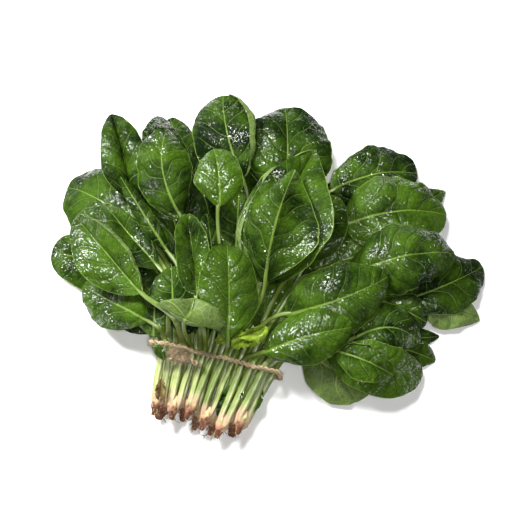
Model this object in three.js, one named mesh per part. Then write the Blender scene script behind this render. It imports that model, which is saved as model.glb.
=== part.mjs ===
// A bunch of spinach tied with jute twine, lying down with its leaves fanned out.
// Millimetres, +Z up, the bunch resting on z = 0 with its root ends towards -Y.
import * as THREE from 'three';

// ---- the tie
const TIE_CENTRE = [-37.5, -68]; // middle of the twine, seen from above
const TIE_TURN = 14.4; // degrees the tie line is turned clockwise from +X
const SHIFT = [0, -6]; // brings the middle of the footprint to the origin
const COLUMNS = 12; // leaf stalks side by side under the twine
const COLUMN_PITCH = 7.5;
const ROW_OFFSET = 1.9; // rows lie alternately this far to the left and right
const ROW_HEIGHT = 6.6; // height of the lowest stalks, and step between rows
const TWINE_RADIUS = 1.6;
const TWINE_HALF_WIDTH = 50;
const TWINE_TOP = 32.2;
const TWINE_CORNER = 7;
const KNOT_PLACE = [-25.5, -6.6, 33.4]; // along the tie, towards the leaves, height
const KNOT_LENGTH = 16;
const KNOT_RADIUS = 3.4;

// ---- leaf stalks and root crowns
const STALK_AT_CROWN = [2.3, 2.3]; // half width, half thickness
const STALK_AT_TIE = [3.2, 2.7];
const STALK_AT_BLADE = [2.4, 2.0];
const FULL_STALK_SIZE = 100; // a leaf whose length and width add up to less has a thinner stalk
const THINNEST_STALK = 0.6; // of a full one
const STALK_BEND = [0.35, 45, 45]; // share of the way over which a stalk turns, and its limits
const STALK_STATIONS = [0, 0.12, 0.28, 0.5, 0.75, 1];
const CROWN_PLACE = [-2, -38]; // middle of the crowns, along the tie and towards the leaves
// first column of each crown, and how much further back than the others it sits
const UPPER_CROWNS = {
  name: 'upper', row: 2, height: 19, starts: [0, 2, 4, 6, 8, 10], longer: [0, 0, -3, 2, 5, -2],
};
const LOWER_CROWNS = {
  name: 'lower', row: 0, height: 5.9, starts: [0, 3, 5, 7, 9], longer: [1, -2, 2, 3, 0],
};
const CROWN_PITCH = 6.45; // along the row of crowns, for each column of stalks
const CROWN_COLUMN_SPACING = 5.2;
const CROWN_HALF_HEIGHT = 5.3;
const CROWN_ROW_SPACING = 5.2;
const CROWN_GAP = 0.7;
// distance behind the crown's face and size there, from the face to the end of the root stub
const CROWN_OUTLINE = [[0, 0.96], [2, 1.06], [5, 0.94], [7.5, 0.62], [10, 0.36], [13, 0.26]];

// ---- leaf blades
const BLADE_THICKNESS = 1.2;
const RIB_DEPTH = 1.8; // how far the midrib stands out of the underside at the blade's root
const BLADE_STATIONS = [0.06, 0.18, 0.34, 0.5, 0.66, 0.8, 0.92];
const FOLD_SPREAD = 0.18; // share of the half width over which a margin folds
const WAVINESS = 0.05; // of the outline

// ---- how the leaves are laid on one another
const CELL = 0.8;
const FIELD = { x: -200, y: -160, columns: 500, rows: 420 };
const LAY_GAP = 0.6;
const LIFT_POINTS = 9;
const HELD_BY_TWINE = [2, 12]; // a stalk can't be lifted at the first, and freely past the second

// ---- outlines: place of the widest part, fullness of the root and of the tip
const OVAL = [0.45, 0.8, 0.55];
const BLUNT = [0.5, 0.7, 0.45];
const WIDE = [0.45, 0.45, 0.5];
const POINTED = [0.4, 0.8, 0.8];
const TAPERED = [0.38, 0.6, 0.9];
const FLAT = null;

// One leaf each, from the bottom of the pile to the top: column and row of the stalk under
// the twine; root of the blade; heading at root and tip, in degrees clockwise from +Y; slope
// at root and tip; length and width; rise of the left half at midrib and margin, then of the
// right half; fold of the left and right margin and where it starts; outline; ruffle depth;
// and whether the blade shows its underside.
const LEAVES = [
  [7, 0, [92, 44, 8], [70, 55], [15, -30], [62, 26], [10, 0, 0, -30], FLAT, POINTED, 1.5],
  [9, 0, [114, -19, 8], [105, 110], [10, -25], [56, 34], [5, 5, 0, -10], FLAT, POINTED, 1.5, true],
  [10, 0, [93, -46, 6], [105, 75], [10, -30], [45, 17], [20, 10, -10, -30], FLAT, POINTED, 1],
  [11, 0, [93, -55, 7], [105, 110], [15, -35], [43, 22], [10, 0, -5, -30], FLAT, OVAL, 1.5],
  [4, 0, [-63, 65, 10], [-5, -20], [10, -25], [72, 36], [5, -20, 5, -20], FLAT, OVAL, 1.5],
  [1, 0, [-106, -1, 7], [-65, -80], [10, -20], [68, 46], [0, -10, 0, -10], FLAT, BLUNT, 1.5],
  [5, 0, [-26, -12, 6], [5, 0], [2, -8], [116, 58], [0, -5, 0, -5], FLAT, OVAL, 1.5],
  [6, 0, [3, -32, 6], [30, 25], [2, -8], [124, 58], [0, -5, 0, -5], FLAT, OVAL, 1.5],
  [8, 0, [34, -38, 6], [60, 56], [2, -9], [96, 64], [0, -5, 0, -5], FLAT, OVAL, 1.5],
  [3, 0, [-57, -8, 6], [-15, -20], [2, -8], [130, 54], [0, -5, 0, -5], FLAT, OVAL, 1.5],
  [2, 0, [-73, -14, 6], [-35, -40], [2, -9], [88, 54], [0, -5, 0, -5], FLAT, OVAL, 1.5],
  [0, 0, [-84, -45, 5], [-50, -45], [10, -20], [54, 30], [0, -5, 0, -5], FLAT, OVAL, 1.5],

  [1, 1, [-96, 32, 18], [-50, -65], [15, -40], [86, 60], [0, -15, 5, -15], FLAT, BLUNT, 1.5],
  [2, 1, [-102, 52, 22], [-10, -20], [20, -20], [82, 44], [70, -10, 60, -20], FLAT, POINTED, 1],
  [3, 1, [-67, 51, 20], [-20, -5], [20, -20], [82, 36], [-10, -30, 10, -20], FLAT, OVAL, 1.5],
  [6, 1, [15, 55, 20], [5, -5], [20, -25], [86, 74], [0, -10, 0, -25], FLAT, BLUNT, 2],
  [4, 1, [-18, 71, 24], [-25, 0], [25, -25], [82, 62], [-10, -35, 5, 0], [0, 160, 0.68], BLUNT, 1],
  [7, 1, [50, 65, 16], [65, 90], [15, -30], [80, 50], [0, -20, 0, -20], FLAT, BLUNT, 2],
  [8, 1, [59, 34, 20], [70, 95], [25, -35], [98, 62], [0, -25, 0, -20], FLAT, WIDE, 2],
  [9, 1, [102, -23, 14], [75, 55], [15, -30], [80, 46], [10, -20, 0, -30], FLAT, BLUNT, 2],
  [10, 1, [90, -25, 16], [115, 110], [25, -50], [46, 28], [5, -20, 5, -20], FLAT, OVAL, 1.5],
  [11, 1, [27, -62, 14], [118, 122], [5, -30], [64, 48], [10, 0, 0, -15], FLAT, OVAL, 2, true],

  [1, 2, [-80, -2, 24], [-40, -40], [15, -15], [72, 36], [20, 25, -5, -5], [0, 150, 0.65], OVAL, 1],
  [2, 2, [-70, 5, 36], [-35, -30], [20, -15], [80, 15], [-10, -40, -10, -40], FLAT, OVAL, 1],
  [4, 2, [-63, 36, 34], [-35, 15], [25, -25], [90, 46], [-15, -35, 0, -30], FLAT, BLUNT, 1.5],
  [5, 2, [-39, -4, 32], [-5, -10], [15, -5], [46, 22], [30, 30, -30, -40], FLAT, OVAL, 1],
  [9, 2, [30, 4, 26], [20, 30], [20, -10], [60, 42], [0, -10, 0, -10], FLAT, OVAL, 1.5],
  [6, 2, [0, -14, 34], [10, 30], [15, -5], [114, 88], [10, 10, 20, 40], [150, 0, 0.72], TAPERED, 1],
  [10, 2, [63, -7, 30], [70, 85], [40, -40], [108, 58], [0, -35, -10, -50], FLAT, WIDE, 2],
  [11, 2, [62, -56, 26], [60, 125], [35, -45], [84, 44], [0, -30, 0, -20], FLAT, OVAL, 1.5],
  [7, 2, [-1, -16, 48], [8, 22], [28, -12], [94, 72], [-32, -65, -55, 30], FLAT, POINTED, 1.5],
  [3, 2, [-67, -42, 26], [-5, -5], [40, -5], [46, 38], [-5, -25, -5, -20], FLAT, OVAL, 1.5],
  [8, 2, [13, -38, 36], [85, 55], [35, -35], [106, 58], [0, -15, -15, -50], FLAT, WIDE, 1.5],

  [0, 3, [-87, -43, 22], [-60, -55], [10, -30], [68, 40], [-5, -25, 5, 5], FLAT, OVAL, 2],
  [10, 3, [44, -61, 28], [125, 70], [10, -35], [94, 40], [30, -20, -10, -25], FLAT, BLUNT, 1],
  [9, 3, [49, -64, 34], [110, 115], [30, -40], [60, 30], [0, 0, 10, 0], [140, 0, 0.72], OVAL, 1],
  [5, 3, [-35, 41, 50], [5, -15], [30, -25], [52, 38], [5, -25, 0, -20], FLAT, BLUNT, 1],
  [4, 3, [-50, -28, 44], [-5, -10], [40, -20], [74, 34], [40, 40, 35, 50], FLAT, OVAL, 1],
  [2, 3, [-91, -25, 36], [-40, -40], [20, -25], [90, 48], [0, -10, 30, 40], [0, 120, 0.7], OVAL, 1],
  [7, 3, [-18, -61, 33], [50, 60], [20, -10], [25, 13], [10, -10, 10, -20], FLAT, OVAL, 2],
  [8, 3, [-3, -67, 37], [70, 80], [35, -30], [82, 42], [0, -30, -5, -35], FLAT, BLUNT, 1],
  [6, 3, [-28, -58, 33], [5, -5], [38, -14], [80, 45], [-5, -25, -5, -25], FLAT, BLUNT, 1],
  [3, 3, [-58, -53, 36], [22, 8], [50, -65], [36, 56], [-5, -30, -5, -30], FLAT, WIDE, 2.5, true],
];
const YOUNG_LEAF = 39; // place in the pile of the one small yellow-green leaf

// ---- small vector helpers
const radians = (degrees) => (degrees * Math.PI) / 180;
const add = (a, b, scale = 1) => a.map((value, i) => value + b[i] * scale);
const subtract = (a, b) => add(a, b, -1);
const length = (a) => Math.hypot(...a);
const unit = (a) => a.map((value) => value / length(a));
const mix = (a, b, share) => a.map((value, i) => value + (b[i] - value) * share);
const cross = (a, b) => [
  a[1] * b[2] - a[2] * b[1],
  a[2] * b[0] - a[0] * b[2],
  a[0] * b[1] - a[1] * b[0],
];
const clamp = (value) => Math.min(1, Math.max(0, value));
const smooth = (value) => clamp(value) ** 2 * (3 - 2 * clamp(value));

const TURN = radians(TIE_TURN);
const ALONG_TIE = [Math.cos(TURN), -Math.sin(TURN), 0];
const TO_LEAVES = [Math.sin(TURN), Math.cos(TURN), 0];

function fromTie(along, ahead, height) {
  const x = TIE_CENTRE[0] + ALONG_TIE[0] * along + TO_LEAVES[0] * ahead;
  const y = TIE_CENTRE[1] + ALONG_TIE[1] * along + TO_LEAVES[1] * ahead;
  return [x, y, height];
}

// Frame of a curve at a point: sideways to the right, and up across it.
function crossFrame(direction) {
  const side = unit(cross(direction, [0, 0, 1]));
  return { side, up: cross(side, direction) };
}

// ---- stalks under the twine and the crowns behind them
function stalkAtTie(column, row) {
  const offset = row % 2 ? ROW_OFFSET : -ROW_OFFSET;
  const along = (column - (COLUMNS - 1) / 2) * COLUMN_PITCH + offset;
  return fromTie(along, 0, (row + 1) * ROW_HEIGHT);
}

function crownOf(column, row) {
  const kind = row > 1 ? UPPER_CROWNS : LOWER_CROWNS;
  const index = kind.starts.findLastIndex((start) => start <= column);
  const first = kind.starts[index];
  const last = (kind.starts[index + 1] ?? COLUMNS) - 1;
  const middle = (first + last) / 2;
  const along = CROWN_PLACE[0] + (middle - (COLUMNS - 1) / 2) * CROWN_PITCH;
  const centre = fromTie(along, CROWN_PLACE[1] - kind.longer[index], kind.height);
  const held = mix(stalkAtTie(first, kind.row), stalkAtTie(last, kind.row + 1), 0.5);
  const axis = unit(subtract(held, centre));
  const halfAcross = ((last - first + 1) / 2) * CROWN_COLUMN_SPACING;
  return { centre, axis, middle, halfAcross, firstRow: kind.row, ...crossFrame(axis) };
}

function stalkAtCrown(column, row) {
  const crown = crownOf(column, row);
  const across = (column - crown.middle) * CROWN_COLUMN_SPACING;
  const above = (row - crown.firstRow - 0.5) * CROWN_ROW_SPACING;
  const face = add(crown.centre, crown.axis, CROWN_GAP);
  return add(add(face, crown.side, across), crown.up, above);
}

// ---- closed solids from rings of points
function loft(rings, closedLoop = false) {
  const count = rings[0].length;
  const points = rings.flat();
  const triangles = [];
  const steps = closedLoop ? rings.length : rings.length - 1;
  for (let i = 0; i < steps; i += 1) {
    const here = i * count;
    const next = ((i + 1) % rings.length) * count;
    for (let k = 0; k < count; k += 1) {
      const m = (k + 1) % count;
      triangles.push([here + k, here + m, next + m], [here + k, next + m, next + k]);
    }
  }
  if (!closedLoop) {
    const last = (rings.length - 1) * count;
    for (let k = 1; k < count - 1; k += 1) {
      triangles.push([0, k + 1, k], [last, last + k, last + k + 1]);
    }
  }
  return { points, triangles };
}

function volume({ points, triangles }) {
  let sum = 0;
  for (const [a, b, c] of triangles) {
    const normal = cross(points[b], points[c]);
    sum += points[a][0] * normal[0] + points[a][1] * normal[1] + points[a][2] * normal[2];
  }
  return sum / 6;
}

function solidMesh(name, shape, color, roughness) {
  const outward = volume(shape) > 0;
  const order = shape.triangles.map(([a, b, c]) => (outward ? [a, b, c] : [a, c, b]));
  const moved = shape.points.map((point) => add(point, [...SHIFT, 0]));
  const geometry = new THREE.BufferGeometry();
  geometry.setAttribute('position', new THREE.Float32BufferAttribute(moved.flat(), 3));
  geometry.setIndex(order.flat());
  geometry.computeVertexNormals();
  const material = new THREE.MeshStandardMaterial({ color, roughness, metalness: 0 });
  const mesh = new THREE.Mesh(geometry, material);
  mesh.name = name;
  return mesh;
}

function ellipseRing(centre, side, up, halfWidth, halfHeight, count) {
  const ring = [];
  for (let k = 0; k < count; k += 1) {
    const angle = Math.PI - (k * 2 * Math.PI) / count;
    const right = add(centre, side, halfWidth * Math.cos(angle));
    ring.push(add(right, up, halfHeight * Math.sin(angle)));
  }
  return ring;
}

// ---- the shape of one leaf before it is laid down
function describeLeaf(row, index) {
  const [column, level, root, headings, slopes, size, rises, fold, outline, ruffle, flipped] = row;
  const step = (heading, slope) => [
    Math.sin(radians(heading)) * Math.cos(radians(slope)) * size[0] * 0.5,
    Math.cos(radians(heading)) * Math.cos(radians(slope)) * size[0] * 0.5,
    Math.sin(radians(slope)) * size[0] * 0.5,
  ];
  const bend = add(root, step(headings[0], slopes[0]));
  const tip = add(bend, step(headings[1], slopes[1]));
  const start = stalkAtCrown(column, level);
  const held = stalkAtTie(column, level);
  const reach = length(subtract(root, held));
  const [share, mostLeaving, mostArriving] = STALK_BEND;
  const leave = add(held, unit(subtract(held, start)), Math.min(reach * share, mostLeaving));
  const arrive = add(root, unit(subtract(bend, root)), -Math.min(reach * share, mostArriving));
  const fallback = [0, 0, 0.6];
  return {
    start, held, leave, arrive, root, bend, tip, reach,
    length: size[0],
    width: size[1],
    rises: rises.map(radians),
    fold: (fold ?? fallback).map((value, i) => (i < 2 ? radians(value) : value)),
    outline, ruffle,
    flipped: Boolean(flipped),
    girth: Math.min(1, Math.max(THINNEST_STALK, (size[0] + size[1]) / FULL_STALK_SIZE)),
    phase: (index * 2.4) % (2 * Math.PI),
  };
}

function stalkCurve(leaf, s) {
  const { held, leave, arrive, root } = leaf;
  const r = 1 - s;
  const at = (k) => r ** 3 * held[k] + 3 * s * r * r * leave[k] + 3 * s * s * r * arrive[k]
    + s ** 3 * root[k];
  const slope = (k) => r * r * (leave[k] - held[k]) + 2 * s * r * (arrive[k] - leave[k])
    + s * s * (root[k] - arrive[k]);
  return { point: [at(0), at(1), at(2)], direction: unit([slope(0), slope(1), slope(2)]) };
}

function midribCurve(leaf, s) {
  const { root, bend, tip } = leaf;
  const point = mix(mix(root, bend, s), mix(bend, tip, s), s);
  const direction = unit(mix(subtract(bend, root), subtract(tip, bend), s));
  return { point, direction };
}

function halfWidth(leaf, s, hand) {
  const [widest, rootFullness, tipFullness] = leaf.outline;
  const before = Math.sin((Math.PI / 2) * clamp(s / widest)) ** rootFullness;
  const after = Math.cos((Math.PI / 2) * clamp((s - widest) / (1 - widest))) ** tipFullness;
  const plain = Math.max((leaf.width / 2) * (s < widest ? before : after), 2.2 * (1 - s));
  return plain * (1 + WAVINESS * Math.sin(9 * s + leaf.phase + hand));
}

// Angle of the blade's cross-section above level, at a share of the half width.
function riseAt(leaf, hand, share) {
  const first = hand < 0 ? 0 : 2;
  const fold = leaf.fold[hand < 0 ? 0 : 1];
  const base = leaf.rises[first] + (leaf.rises[first + 1] - leaf.rises[first]) * share;
  return base + fold * smooth((share - leaf.fold[2]) / FOLD_SPREAD);
}

// Sideways and upward place in the cross-section, as a share of the half width.
function sectionAt(leaf, hand, share) {
  const parts = 24;
  let sideways = 0;
  let upward = 0;
  for (let i = 0; i < parts; i += 1) {
    const angle = riseAt(leaf, hand, (share * (i + 0.5)) / parts);
    sideways += (Math.cos(angle) * share) / parts;
    upward += (Math.sin(angle) * share) / parts;
  }
  return [sideways, upward];
}

function bladePoint(leaf, s, hand, share, offset) {
  const { point, direction } = midribCurve(leaf, s);
  const { side, up } = crossFrame(direction);
  const half = halfWidth(leaf, s, hand);
  const [sideways, upward] = sectionAt(leaf, hand, share);
  const angle = share ? riseAt(leaf, hand, share) : 0;
  const wave = leaf.ruffle * share * share * Math.min(half / 12, 1)
    * Math.sin(14 * s + leaf.phase + 2 * hand);
  const across = hand * (sideways * half - Math.sin(angle) * offset);
  const above = upward * half + wave + Math.cos(angle) * offset;
  return add(add(point, side, across), up, above);
}

// ---- rings of a leaf, each point with its place in the net that lifts the leaf
const SHARES = { middle: 0.5, folded: 0.12 };

function leafRings(leaf) {
  const rings = [];
  const total = leaf.reach + leaf.length;
  const along = (s) => (leaf.reach + s * leaf.length) / total;
  const addStalk = (point, direction, half, t) => {
    const { side, up } = crossFrame(direction);
    const ring = ellipseRing(point, side, up, half[0] * leaf.girth, half[1] * leaf.girth, 8);
    rings.push(ring.map((place) => ({ place, t, across: 0 })));
  };
  const first = unit(subtract(leaf.held, leaf.start));
  addStalk(leaf.start, first, STALK_AT_CROWN, 0);
  addStalk(add(leaf.held, first, -4), first, STALK_AT_TIE, 0);
  for (const s of STALK_STATIONS) {
    const { point, direction } = stalkCurve(leaf, s);
    const half = mix(STALK_AT_TIE, STALK_AT_BLADE, s);
    addStalk(point, direction, half, (s * leaf.reach) / total);
  }
  const middle = [leaf.fold[0], leaf.fold[1]].map((fold) => (
    fold ? Math.min(leaf.fold[2] + SHARES.folded, 0.9) : SHARES.middle
  ));
  for (const s of BLADE_STATIONS) {
    const free = clamp(s / 0.2);
    const rib = RIB_DEPTH * (1 - s) ** 1.5;
    const over = BLADE_THICKNESS / 2 + (leaf.flipped ? rib : 0);
    const under = BLADE_THICKNESS / 2 + (leaf.flipped ? 0 : rib);
    const skin = BLADE_THICKNESS / 2;
    const at = (hand, share, offset) => ({
      place: bladePoint(leaf, s, hand, share, offset),
      t: along(s),
      across: hand * share * free,
    });
    rings.push([
      at(-1, 1, 0), at(-1, middle[0], skin), at(1, 0, over), at(1, middle[1], skin),
      at(1, 1, 0), at(1, middle[1], -skin), at(1, 0, -under), at(-1, middle[0], -skin),
    ]);
  }
  return rings;
}

function leafSolid(leaf) {
  const rings = leafRings(leaf);
  const shape = loft(rings);
  const count = rings[0].length;
  const last = (rings.length - 1) * count;
  const tip = { place: leaf.tip, t: 1, across: 0 };
  shape.points.push(tip);
  shape.triangles = shape.triangles.filter((triangle) => triangle.some((k) => k < last));
  for (let k = 0; k < count; k += 1) {
    shape.triangles.push([last + k, last + ((k + 1) % count), shape.points.length - 1]);
  }
  return shape;
}

// ---- the net: smooth lifting weights along and across a leaf
function alongWeights(t) {
  const spans = LIFT_POINTS - 2;
  const knots = [0, 0];
  for (let i = 0; i <= spans; i += 1) {
    knots.push(i / spans);
  }
  knots.push(1, 1);
  const place = Math.min(t, 1 - 1e-9);
  let weights = [];
  for (let i = 0; i < knots.length - 1; i += 1) {
    weights.push(place >= knots[i] && place < knots[i + 1] ? 1 : 0);
  }
  for (let degree = 1; degree <= 2; degree += 1) {
    const next = [];
    for (let i = 0; i < weights.length - 1; i += 1) {
      const left = knots[i + degree] - knots[i];
      const right = knots[i + degree + 1] - knots[i + 1];
      const rising = left ? ((place - knots[i]) / left) * weights[i] : 0;
      const falling = right ? ((knots[i + degree + 1] - place) / right) * weights[i + 1] : 0;
      next.push(rising + falling);
    }
    weights = next;
  }
  return weights;
}

function netWeights({ t, across }, leaf) {
  const e = (across + 1) / 2;
  const sideways = [(1 - e) ** 2, 2 * e * (1 - e), e * e];
  const [held, loose] = HELD_BY_TWINE;
  const freedom = smooth((t * (leaf.reach + leaf.length) - held) / (loose - held));
  return alongWeights(t).flatMap((weight) => sideways.map((other) => freedom * weight * other));
}

// ---- the surface built up so far, as a grid of heights
const heights = new Float32Array(FIELD.columns * FIELD.rows).fill(-LAY_GAP);

function cellOf(x, y) {
  const column = Math.floor((x - FIELD.x) / CELL);
  const row = Math.floor((y - FIELD.y) / CELL);
  return row * FIELD.columns + column;
}

function highestNear(cell) {
  let highest = -Infinity;
  for (let dy = -1; dy <= 1; dy += 1) {
    for (let dx = -1; dx <= 1; dx += 1) {
      highest = Math.max(highest, heights[cell + dy * FIELD.columns + dx]);
    }
  }
  return highest;
}

// Points spread over every triangle, closer together than the cells.
function spread(points, triangles) {
  const samples = [];
  for (const [a, b, c] of triangles) {
    const sides = [[a, b], [b, c], [c, a]].map(([i, j]) => (
      Math.hypot(points[i][0] - points[j][0], points[i][1] - points[j][1])
    ));
    const steps = Math.max(1, Math.ceil(Math.max(...sides) / (CELL * 0.9)));
    for (let i = 0; i <= steps; i += 1) {
      for (let j = 0; j <= steps - i; j += 1) {
        const shares = [1 - (i + j) / steps, i / steps, j / steps];
        const x = shares[0] * points[a][0] + shares[1] * points[b][0] + shares[2] * points[c][0];
        const y = shares[0] * points[a][1] + shares[1] * points[b][1] + shares[2] * points[c][1];
        samples.push({ corners: [a, b, c], shares, cell: cellOf(x, y) });
      }
    }
  }
  return samples;
}

function heightOf({ corners, shares }, levels) {
  return shares[0] * levels[corners[0]] + shares[1] * levels[corners[1]]
    + shares[2] * levels[corners[2]];
}

function layOn(samples, levels) {
  for (const sample of samples) {
    heights[sample.cell] = Math.max(heights[sample.cell], heightOf(sample, levels));
  }
}

// Lay one leaf: raise its net until no point is closer than the gap to what lies under it.
function settle(shape, leaf) {
  const places = shape.points.map((point) => point.place);
  const weights = shape.points.map((point) => netWeights(point, leaf));
  const samples = spread(places, shape.triangles);
  const held = (0.75 * HELD_BY_TWINE[1]) / (leaf.reach + leaf.length);
  for (const sample of samples) {
    const reached = heightOf(sample, shape.points.map((point) => point.t));
    sample.floor = reached > held ? highestNear(sample.cell) + LAY_GAP : -Infinity;
  }
  const net = new Array(LIFT_POINTS * 3).fill(0);
  const levelsNow = () => places.map((place, k) => (
    place[2] + weights[k].reduce((sum, weight, i) => sum + weight * net[i], 0)
  ));
  let levels = levelsNow();
  for (let round = 0; round < 60; round += 1) {
    const raise = new Array(net.length).fill(0);
    let worst = 0;
    for (const sample of samples) {
      const short = sample.floor - heightOf(sample, levels);
      if (short > 0) {
        worst = Math.max(worst, short);
        const { corners, shares } = sample;
        const pull = net.map((_, i) => (
          corners.reduce((sum, corner, k) => sum + shares[k] * weights[corner][i], 0)
        ));
        const power = pull.reduce((sum, value) => sum + value * value, 0);
        pull.forEach((value, i) => {
          raise[i] = Math.max(raise[i], (0.6 * value * short) / power);
        });
      }
    }
    if (worst < 0.05) {
      break;
    }
    for (let i = 3; i < net.length; i += 1) {
      net[i] += raise[i];
    }
    levels = levelsNow();
  }
  layOn(samples, levels);
  return places.map((place, k) => [place[0], place[1], levels[k]]);
}

// ---- twine: a loop drawn tight round the stalks, and a knot with two short ends
function twineLoop() {
  const rings = [];
  const low = TWINE_RADIUS;
  const halfHeight = (TWINE_TOP - low) / 2;
  const middle = low + halfHeight;
  const corners = [[1, 1], [-1, 1], [-1, -1], [1, -1]];
  corners.forEach(([right, top], index) => {
    for (let k = 0; k <= 5; k += 1) {
      const angle = ((index + k / 5) * Math.PI) / 2;
      const along = right * (TWINE_HALF_WIDTH - TWINE_CORNER) + TWINE_CORNER * Math.cos(angle);
      const rise = top * (halfHeight - TWINE_CORNER) + TWINE_CORNER * Math.sin(angle);
      const outward = add([0, 0, Math.sin(angle)], ALONG_TIE, Math.cos(angle));
      const centre = fromTie(along, 0, middle + rise);
      rings.push(ellipseRing(centre, TO_LEAVES, outward, TWINE_RADIUS, TWINE_RADIUS, 8));
    }
  });
  return loft(rings, true);
}

function knotSolid() {
  const rings = [];
  const steps = 10;
  for (let i = 0; i <= steps; i += 1) {
    const s = i / steps;
    const along = KNOT_PLACE[0] + (s - 0.5) * KNOT_LENGTH;
    const radius = KNOT_RADIUS * (0.35 + 0.65 * Math.sin(Math.PI * s) ** 0.6)
      * (1 + 0.1 * Math.sin(7 * s));
    const centre = fromTie(along, KNOT_PLACE[1], KNOT_PLACE[2]);
    rings.push(ellipseRing(centre, TO_LEAVES, [0, 0, 1], radius * 1.25, radius, 10));
  }
  return loft(rings);
}

function tailSolid(hand) {
  const rings = [];
  const steps = 5;
  for (let i = 0; i <= steps; i += 1) {
    const s = i / steps;
    const along = KNOT_PLACE[0] + hand * (KNOT_LENGTH / 2 + 0.5 + 8 * s);
    const ahead = KNOT_PLACE[1] - 2.5 * s * s;
    const centre = fromTie(along, ahead, KNOT_PLACE[2] - 1 + hand * 0.4 * s);
    rings.push(ellipseRing(centre, TO_LEAVES, [0, 0, 1], 1.1 + 0.9 * s, 1.1 + 0.3 * s, 8));
  }
  return loft(rings);
}

function crownSolid(crown) {
  const rings = CROWN_OUTLINE.map(([back, size]) => {
    const centre = add(crown.centre, crown.axis, -back);
    const half = [crown.halfAcross * size, CROWN_HALF_HEIGHT * size];
    return ellipseRing(centre, crown.side, crown.up, half[0], half[1], 12);
  });
  return loft(rings);
}

// ---- the whole bunch
const bunch = new THREE.Group();
bunch.name = 'spinach_bunch';

const TWINE_COLOR = 0xb9935f;
const twine = [
  ['twine_loop', twineLoop()],
  ['twine_knot', knotSolid()],
  ['twine_end_left', tailSolid(-1)],
  ['twine_end_right', tailSolid(1)],
];
for (const [name, shape] of twine) {
  bunch.add(solidMesh(name, shape, TWINE_COLOR, 0.95));
  layOn(spread(shape.points, shape.triangles), shape.points.map((point) => point[2]));
}

const twoDigits = (value) => String(value).padStart(2, '0');
const LEAF_COLORS = [0x2c5a1e, 0x356b24, 0x3f772a, 0x2f6322];
LEAVES.forEach((row, index) => {
  const leaf = describeLeaf(row, index);
  const shape = leafSolid(leaf);
  const solid = { points: settle(shape, leaf), triangles: shape.triangles };
  const color = index === YOUNG_LEAF ? 0x9fb23c : LEAF_COLORS[index % LEAF_COLORS.length];
  bunch.add(solidMesh(`leaf_${twoDigits(index + 1)}`, solid, color, 0.4));
});

for (const kind of [LOWER_CROWNS, UPPER_CROWNS]) {
  kind.starts.forEach((column, index) => {
    const shape = crownSolid(crownOf(column, kind.row));
    bunch.add(solidMesh(`crown_${kind.name}_${index + 1}`, shape, 0xa9745a, 0.7));
  });
}

export default bunch;
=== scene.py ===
"""A bunch of spinach tied with jute twine, lying down with its leaves fanned out.

The leaves are laid on one another from the bottom of the pile to the top, so that they
rest on each other as real ones do. Every piece but the small torn bits of leaf stands for
the CAD node in the same place.
"""
import math
from functools import partial
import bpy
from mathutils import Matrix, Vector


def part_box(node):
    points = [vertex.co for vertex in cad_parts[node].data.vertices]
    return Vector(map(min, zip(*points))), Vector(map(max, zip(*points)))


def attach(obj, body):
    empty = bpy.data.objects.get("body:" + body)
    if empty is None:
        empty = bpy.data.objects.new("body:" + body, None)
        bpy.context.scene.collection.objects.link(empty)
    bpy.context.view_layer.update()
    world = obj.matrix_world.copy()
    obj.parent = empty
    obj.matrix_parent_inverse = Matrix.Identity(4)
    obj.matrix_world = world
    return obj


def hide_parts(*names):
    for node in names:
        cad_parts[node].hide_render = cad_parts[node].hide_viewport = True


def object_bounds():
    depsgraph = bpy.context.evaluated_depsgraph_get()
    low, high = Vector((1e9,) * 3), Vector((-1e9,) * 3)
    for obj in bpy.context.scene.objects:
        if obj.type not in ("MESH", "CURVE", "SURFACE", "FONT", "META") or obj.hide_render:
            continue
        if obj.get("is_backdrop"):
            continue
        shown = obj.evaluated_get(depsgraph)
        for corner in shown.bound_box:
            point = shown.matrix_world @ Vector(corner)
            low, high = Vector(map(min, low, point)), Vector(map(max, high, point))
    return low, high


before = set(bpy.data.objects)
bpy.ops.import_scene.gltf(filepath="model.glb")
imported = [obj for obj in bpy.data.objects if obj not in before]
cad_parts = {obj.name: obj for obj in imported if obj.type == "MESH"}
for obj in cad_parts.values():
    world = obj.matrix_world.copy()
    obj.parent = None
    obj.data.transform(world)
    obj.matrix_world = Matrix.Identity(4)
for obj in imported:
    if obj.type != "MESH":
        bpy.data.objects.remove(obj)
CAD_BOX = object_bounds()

from types import SimpleNamespace

import bpy
import numpy as np
from mathutils import Vector

bl_info = {
    "name": "Spinach bunch",
    "version": (1, 0, 0),
    "blender": (4, 5, 0),
    "location": "3D View > Sidebar > Spinach",
    "description": "Makes a bunch of spinach tied with jute twine",
    "category": "Add Mesh",
}

MM = 0.001
BODY = "root"
UP = np.array([0.0, 0.0, 1.0])


def linear(hexcode):
    """A linear colour from an sRGB hex code."""
    parts = [int(hexcode[i : i + 2], 16) / 255 for i in (1, 3, 5)]
    return [c / 12.92 if c <= 0.04045 else ((c + 0.055) / 1.055) ** 2.4 for c in parts]


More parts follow.
